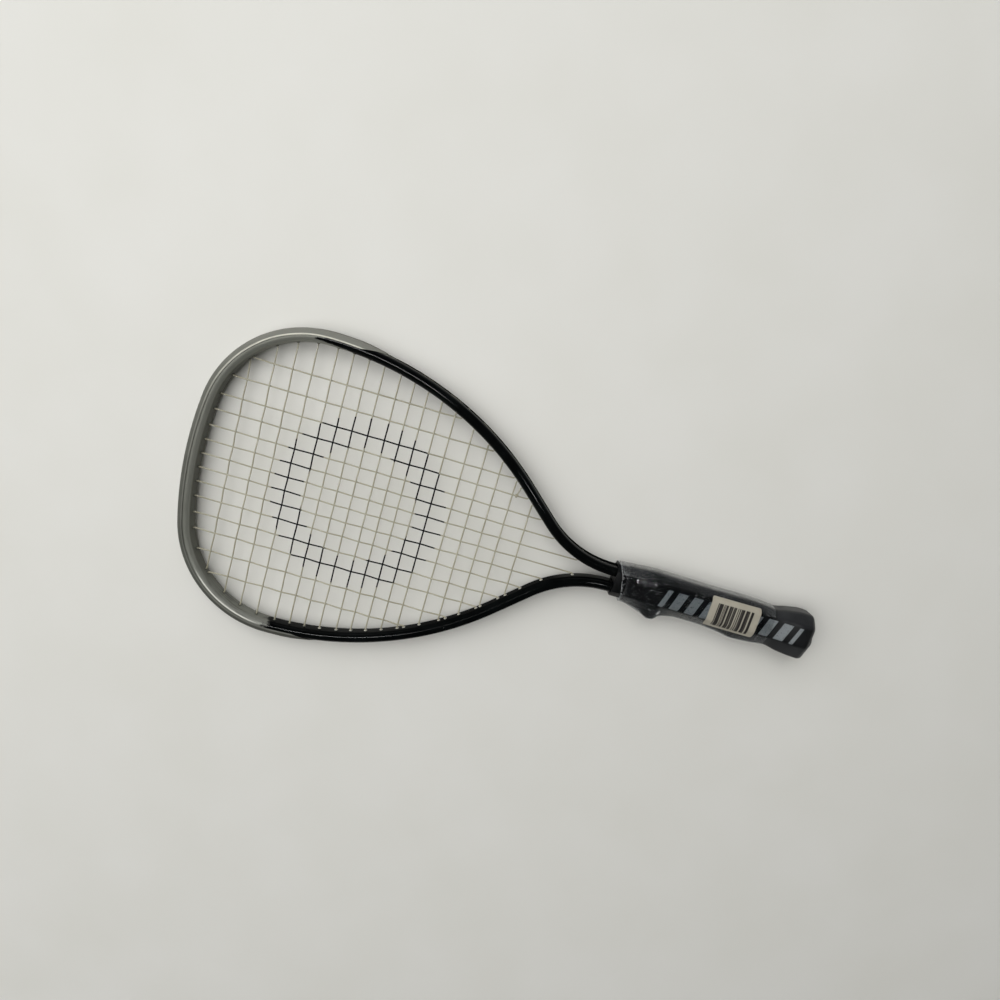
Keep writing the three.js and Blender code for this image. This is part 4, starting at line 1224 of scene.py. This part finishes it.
# %% Materials of the hard plastics and the screws
collar_abs, tree, where = new_finish("moulded_abs_black")
cloud = add(tree, "TexNoise", (where, 1 / 7, 3))
grain = add(tree, "TexNoise", (where, 1 / 0.5, 3))
close_finish(collar_abs, tree, {
    "Base Color": two_tones(tree, cloud, 0.35, 0.65, "#070808", "#0d0e0f"),
    "Roughness": add(tree, "MapRange", (cloud, 0.3, 0.7, 0.28, 0.42)),
    "Specular IOR Level": 0.15,
    "Normal": add(tree, "Bump", {"Height": grain, "Distance": 0.02 * MM}),
})

core_foam, tree, where = new_finish("moulded_polyurethane")
pores = add(tree, "TexVoronoi", (where, 1 / 1.4))
close_finish(core_foam, tree, {
    "Base Color": two_tones(tree, pores, 0.1, 0.5, "#2a2a2c", "#3d3d40"),
    "Roughness": 0.75,
    "Normal": add(tree, "Bump", {"Height": pores, "Distance": 0.1 * MM}),
})

zinc_steel, tree, where = new_finish("zinc_plated_steel")
cloud = add(tree, "TexNoise", (where, 1 / 0.8, 3))
close_finish(zinc_steel, tree, {
    "Base Color": add(tree, "Mix", (cloud, srgb("#b4b6b6"), srgb("#8f9294")), data_type="RGBA"),
    "Metallic": 1.0,
    "Roughness": add(tree, "MapRange", (cloud, 0, 1, 0.3, 0.45)),
})

# %% Bevelled copy of the collar, and the hidden solids
collar_solid = frame["nodes"]["throat_collar"].data
throat_collar = new_object("throat_collar_skin", collar_solid.copy())
weld = throat_collar.modifiers.new("weld", "WELD")
weld.merge_threshold = 0.01 * MM
bevel = throat_collar.modifiers.new("bevel", "BEVEL")
bevel.width = 0.35 * MM
bevel.segments = 3
bevel.limit_method = "ANGLE"
bevel.angle_limit = math.radians(30)
depsgraph = bpy.context.evaluated_depsgraph_get()
collar_mesh = bpy.data.meshes.new_from_object(throat_collar.evaluated_get(depsgraph))
throat_collar.modifiers.clear()
throat_collar.data = collar_mesh
collar_mesh.shade_smooth()
collar_mesh.set_sharp_from_angle(angle=math.radians(40))
finish_piece(throat_collar, "throat_collar", collar_abs)

hidden = {"pallet_front": core_foam, "pallet_back": core_foam, "butt_insert": core_foam}
hidden |= {"pallet_screw_" + str(k): zinc_steel for k in (1, 2, 3)}
for node, material in hidden.items():
    kept = frame["nodes"][node].data
    kept.materials.clear()
    kept.materials.append(material)
print(len(hidden), "solids stay inside the grip")

# %% Wrist-loop plug, turned about its bore
plug_start, plug_end = plug_low.x / MM, plug_high.x / MM
plug_bore = 2.0
rim_round = 0.7
rim = []
for a in np.linspace(math.pi / 2, 0, 7):
    back, inset = rim_round * (1 - math.sin(a)), rim_round * (1 - math.cos(a))
    rim.append((plug_end - back, plug_outer - inset))
dish = [(plug_end - 1.6, plug_bore), (plug_end - 1.1, 2.5), (plug_end - 1.0, 4.6), (plug_end - 0.1, 5.6)]
profile = [(plug_start, plug_bore), *dish, *rim, (plug_start, plug_outer)]
rings = []
for a in np.linspace(0, 2 * math.pi, 48, endpoint=False):
    rings.append([(x, plug_y + r * math.cos(a), r * math.sin(a)) for x, r in profile])
lanyard_plug = skin("lanyard_plug_skin", rings, around_the_path=True)
finish_piece(lanyard_plug, "lanyard_plug", collar_abs)

# %% [markdown]
# ## The shrink film
# A new racket is sold with a sleeve of clear film shrunk onto its grip. It bridges the hollow in
# front of the finger rest and puckers at its front edge; thin hard glints along its creases are
# painted white, as painted highlights. It is a real shell with two walls and glass-like optics, so that the
# rubber shows through it. Its rolled front edge is painted white, and so are the crinkles behind it, as
# painted glints.

# %% Material of the film
shrink_film, tree, where = new_finish("shrunk_pvc_film")
long_creases = add(tree, "Mapping", {"Vector": where, "Scale": (0.22, 1, 1)})
crease = add(tree, "TexNoise", (long_creases, 1 / 2.6, 4, 0.6))
fine = add(tree, "TexNoise", (where, 1 / 7))
relief = add(tree, "Bump", {"Height": crease, "Distance": 0.2 * MM})
relief = add(tree, "Bump", {"Height": fine, "Distance": 0.12 * MM, "Normal": relief})

front = add(tree, "Attribute", attribute_name="front").outputs["Fac"]
crinkle = add(tree, "TexNoise", (where, 1 / 3.4, 3, 0.6))
# the crinkle and crease lines are painted glints; the rolled edge is painted white
white_marks = [
    (add(tree, "MapRange", (front, 0.97, 0.985)), add(tree, "MapRange", (fine, 0.35, 0.6, 0.15, 0.7))),
    (stripe(tree, crinkle, 0.5, 0.01, 0.003), add(tree, "MapRange", (front, 0.3, 0.95, 0, 0.85))),
    (stripe(tree, crease, 0.56, 0.006, 0.002), add(tree, "MapRange", (fine, 0.52, 0.6, 0, 0.5))),
]
rolled_edge, crinkle_glints, glints = [add(tree, "Math", pair, operation="MULTIPLY") for pair in white_marks]
white = add(tree, "Math", (crinkle_glints, glints), operation="MAXIMUM")
white = add(tree, "Math", (rolled_edge, white), operation="MAXIMUM")
close_finish(shrink_film, tree, {
    "Base Color": add(tree, "Mix", (white, srgb("#f4f6f7"), srgb("#b9bdbc")), data_type="RGBA"),
    "Roughness": add(tree, "MapRange", (white, 0, 1, 0.04, 0.4)),
    "IOR": 1.47,
    "Transmission Weight": add(tree, "MapRange", (white, 0, 1, 1.0, 0.25)),
    "Normal": relief,
})

# %% Film rings: a bridge over the hollow, and a slanting front edge
film_end_share = 0.775
peak_share, chord_start = 0.165, 0.03
film_inner, film_outer = 0.40, 0.52
film_slant = 9.7
step_share, slant_share, curl_share = 0.14, 0.58, 0.28
collar_half_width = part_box("throat_collar")[1].y / MM
chord_from = smooth_table(grip_shares, chord_start)[1] * grip_half_width
chord_to = smooth_table(grip_shares, peak_share)[1] * grip_half_width


def film_ring(share, grow):
    """A ring over the grip that bridges the hollow before the finger rest."""
    chord = 0
    if chord_start <= share <= peak_share:
        t = (share - chord_start) / (peak_share - chord_start)
        chord = chord_from + (chord_to - chord_from) * t - 0.5 * math.sin(math.pi * t)
    return np.array(grip_ring(share, grow, chord))


def film_front(t, grow):
    """From the slanted front edge, t = 0, to the first full ring, t = 1."""
    ring = film_ring(0.0, grow)
    low, high = ring[:, 1].min(), ring[:, 1].max()
    up = (ring[:, 1] - low) / (high - low)
    ring[:, 0] -= film_slant * (step_share + slant_share * up + curl_share * up**6)
    upper = ring[:, 1] > 0
    ring[upper, 1] *= (collar_half_width + grow) / high
    ring = ring + (film_ring(chord_start, grow) - ring) * t
    # the loose edge puckers outwards, by up to 1 mm, in 5 long waves and 13 short ones
    turn = np.arctan2(ring[:, 2], ring[:, 1])
    pucker = (1 - t) ** 2 * (0.45 + 0.35 * np.sin(5 * turn) + 0.25 * np.sin(13 * turn + 1))
    ring[:, 1] += pucker * np.cos(turn)
    ring[:, 2] += pucker * np.sin(turn)
    return ring


print("film reaches", film_slant, "mm in front of the grip")

# %% Film shell
film_shares = np.linspace(chord_start, film_end_share, 150)[1:]
steps = np.linspace(0, 1, 24)
walls = []
for grow in (film_outer, film_inner):
    wall = [film_front(t, grow) for t in steps]
    walls.append(wall + [film_ring(share, grow) for share in film_shares])
film_sleeve = skin("shrink_film_skin", walls[0] + walls[1][::-1], around_the_path=True)
nearness = [1 - t for t in steps] + [0.0] * len(film_shares)
front = film_sleeve.data.attributes.new("front", "FLOAT", "POINT")
front.data.foreach_set("value", np.repeat(nearness + nearness[::-1], len(walls[0][0])))
finish_piece(film_sleeve, "shrink_film", shrink_film)

# %% [markdown]
# ## The paper label
# A shop's paper label lies over the film on the front facet. It carries only a block of plain
# bars. Paper is matte and slightly warm, and its corners are rounded.

# %% Material of the label
label_low, label_high = (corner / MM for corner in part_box("paper_label"))
label_x = (label_low.x + label_high.x) / 2
bar_middle_y = -2.4
label_paper, tree, where = new_finish("coated_paper_label")
place = add(tree, "SeparateXYZ", (where,)).outputs
# paper's fibres are too fine to show: they are drawn 0.7 mm across
fibre = add(tree, "TexNoise", (where, 1 / 0.7, 3))
cloud = add(tree, "TexNoise", (where, 1 / 10))
tone = add(tree, "Mix", (cloud, srgb("#928d7f"), srgb("#a8a394")), data_type="RGBA")
fibres = add(tree, "MapRange", (fibre, 0.5, 0.8, 0, 0.25))
tone = add(tree, "Mix", (fibres, tone, srgb("#6d685c")), data_type="RGBA")
only_x = add(tree, "Mapping", {"Vector": where, "Scale": (1, 0, 0)})
bars = add(tree, "TexNoise", (only_x, 1 / 1.5, 1))
bars = add(tree, "MapRange", (bars, 0.465, 0.49))
printed = add(tree, "Math", (
    stripe(tree, place["X"], label_x, 16.1, 15.9),
    stripe(tree, place["Y"], bar_middle_y, 10.5, 10.3),
), operation="MULTIPLY")
printed = add(tree, "Math", (printed, bars), operation="MULTIPLY")
close_finish(label_paper, tree, {
    "Base Color": add(tree, "Mix", (printed, tone, srgb("#1d1917")), data_type="RGBA"),
    "Roughness": 0.6,
    "Normal": add(tree, "Bump", {"Height": fibre, "Distance": 0.02 * MM}),
})

# %% Label bent over the front facet
label_corner = 1.6
side_wall_top = 4
label_under, label_top = 1.0, 1.12
half_length = (label_high.x - label_low.x) / 2
straight = half_length - label_corner
label_ys = np.linspace(label_low.y, label_high.y, 40)
middle = (label_low.y + label_high.y) / 2
half_height = (label_high.y - label_low.y) / 2


def label_height(x, grow, ys):
    """The height of the grip's front, grown outwards, at each y."""
    outline = grip_outline((x - grip_start) / grip_length, grow)
    # the points above the side walls are the front facet and its bevels
    front = np.array(sorted((tuple(p) for p in outline if p[1] > side_wall_top), key=lambda p: p[0]))
    return np.interp(ys, label_ys, np.interp(label_ys, front[:, 0], front[:, 1]))


corner_steps = np.linspace(straight, half_length, 8)
xs = np.concatenate([-corner_steps[::-1], np.linspace(-straight, straight, 30)[1:-1], corner_steps])
label_rings = []
for x in xs:
    over = max(0.0, abs(x) - straight)
    cut = label_corner - math.sqrt(max(label_corner**2 - over**2, 0))
    ys = middle + (label_ys - middle) * (1 - cut / half_height)
    top = label_height(label_x + x, label_top, ys)
    under = label_height(label_x + x, label_under, ys)
    upper = [(label_x + x, y, z) for y, z in zip(ys, top)][::-1]
    label_rings.append(upper + [(label_x + x, y, z) for y, z in zip(ys, under)])
paper_label = skin("paper_label_skin", label_rings, sharp=50)
finish_piece(paper_label, "paper_label", label_paper)

# %% [markdown]
# ## The size of the visual model
# Both boxes, the CAD model's and the visual model's, are printed side by side. The visual model
# has to stay inside the CAD model's box.

# %% Print both boxes
visual_box = [list(corner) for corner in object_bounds()]
for label, (low, high) in (("CAD", cad_box), ("visual", visual_box)):
    print(label, "box in mm:", [round((b - a) / MM, 1) for a, b in zip(low, high)])
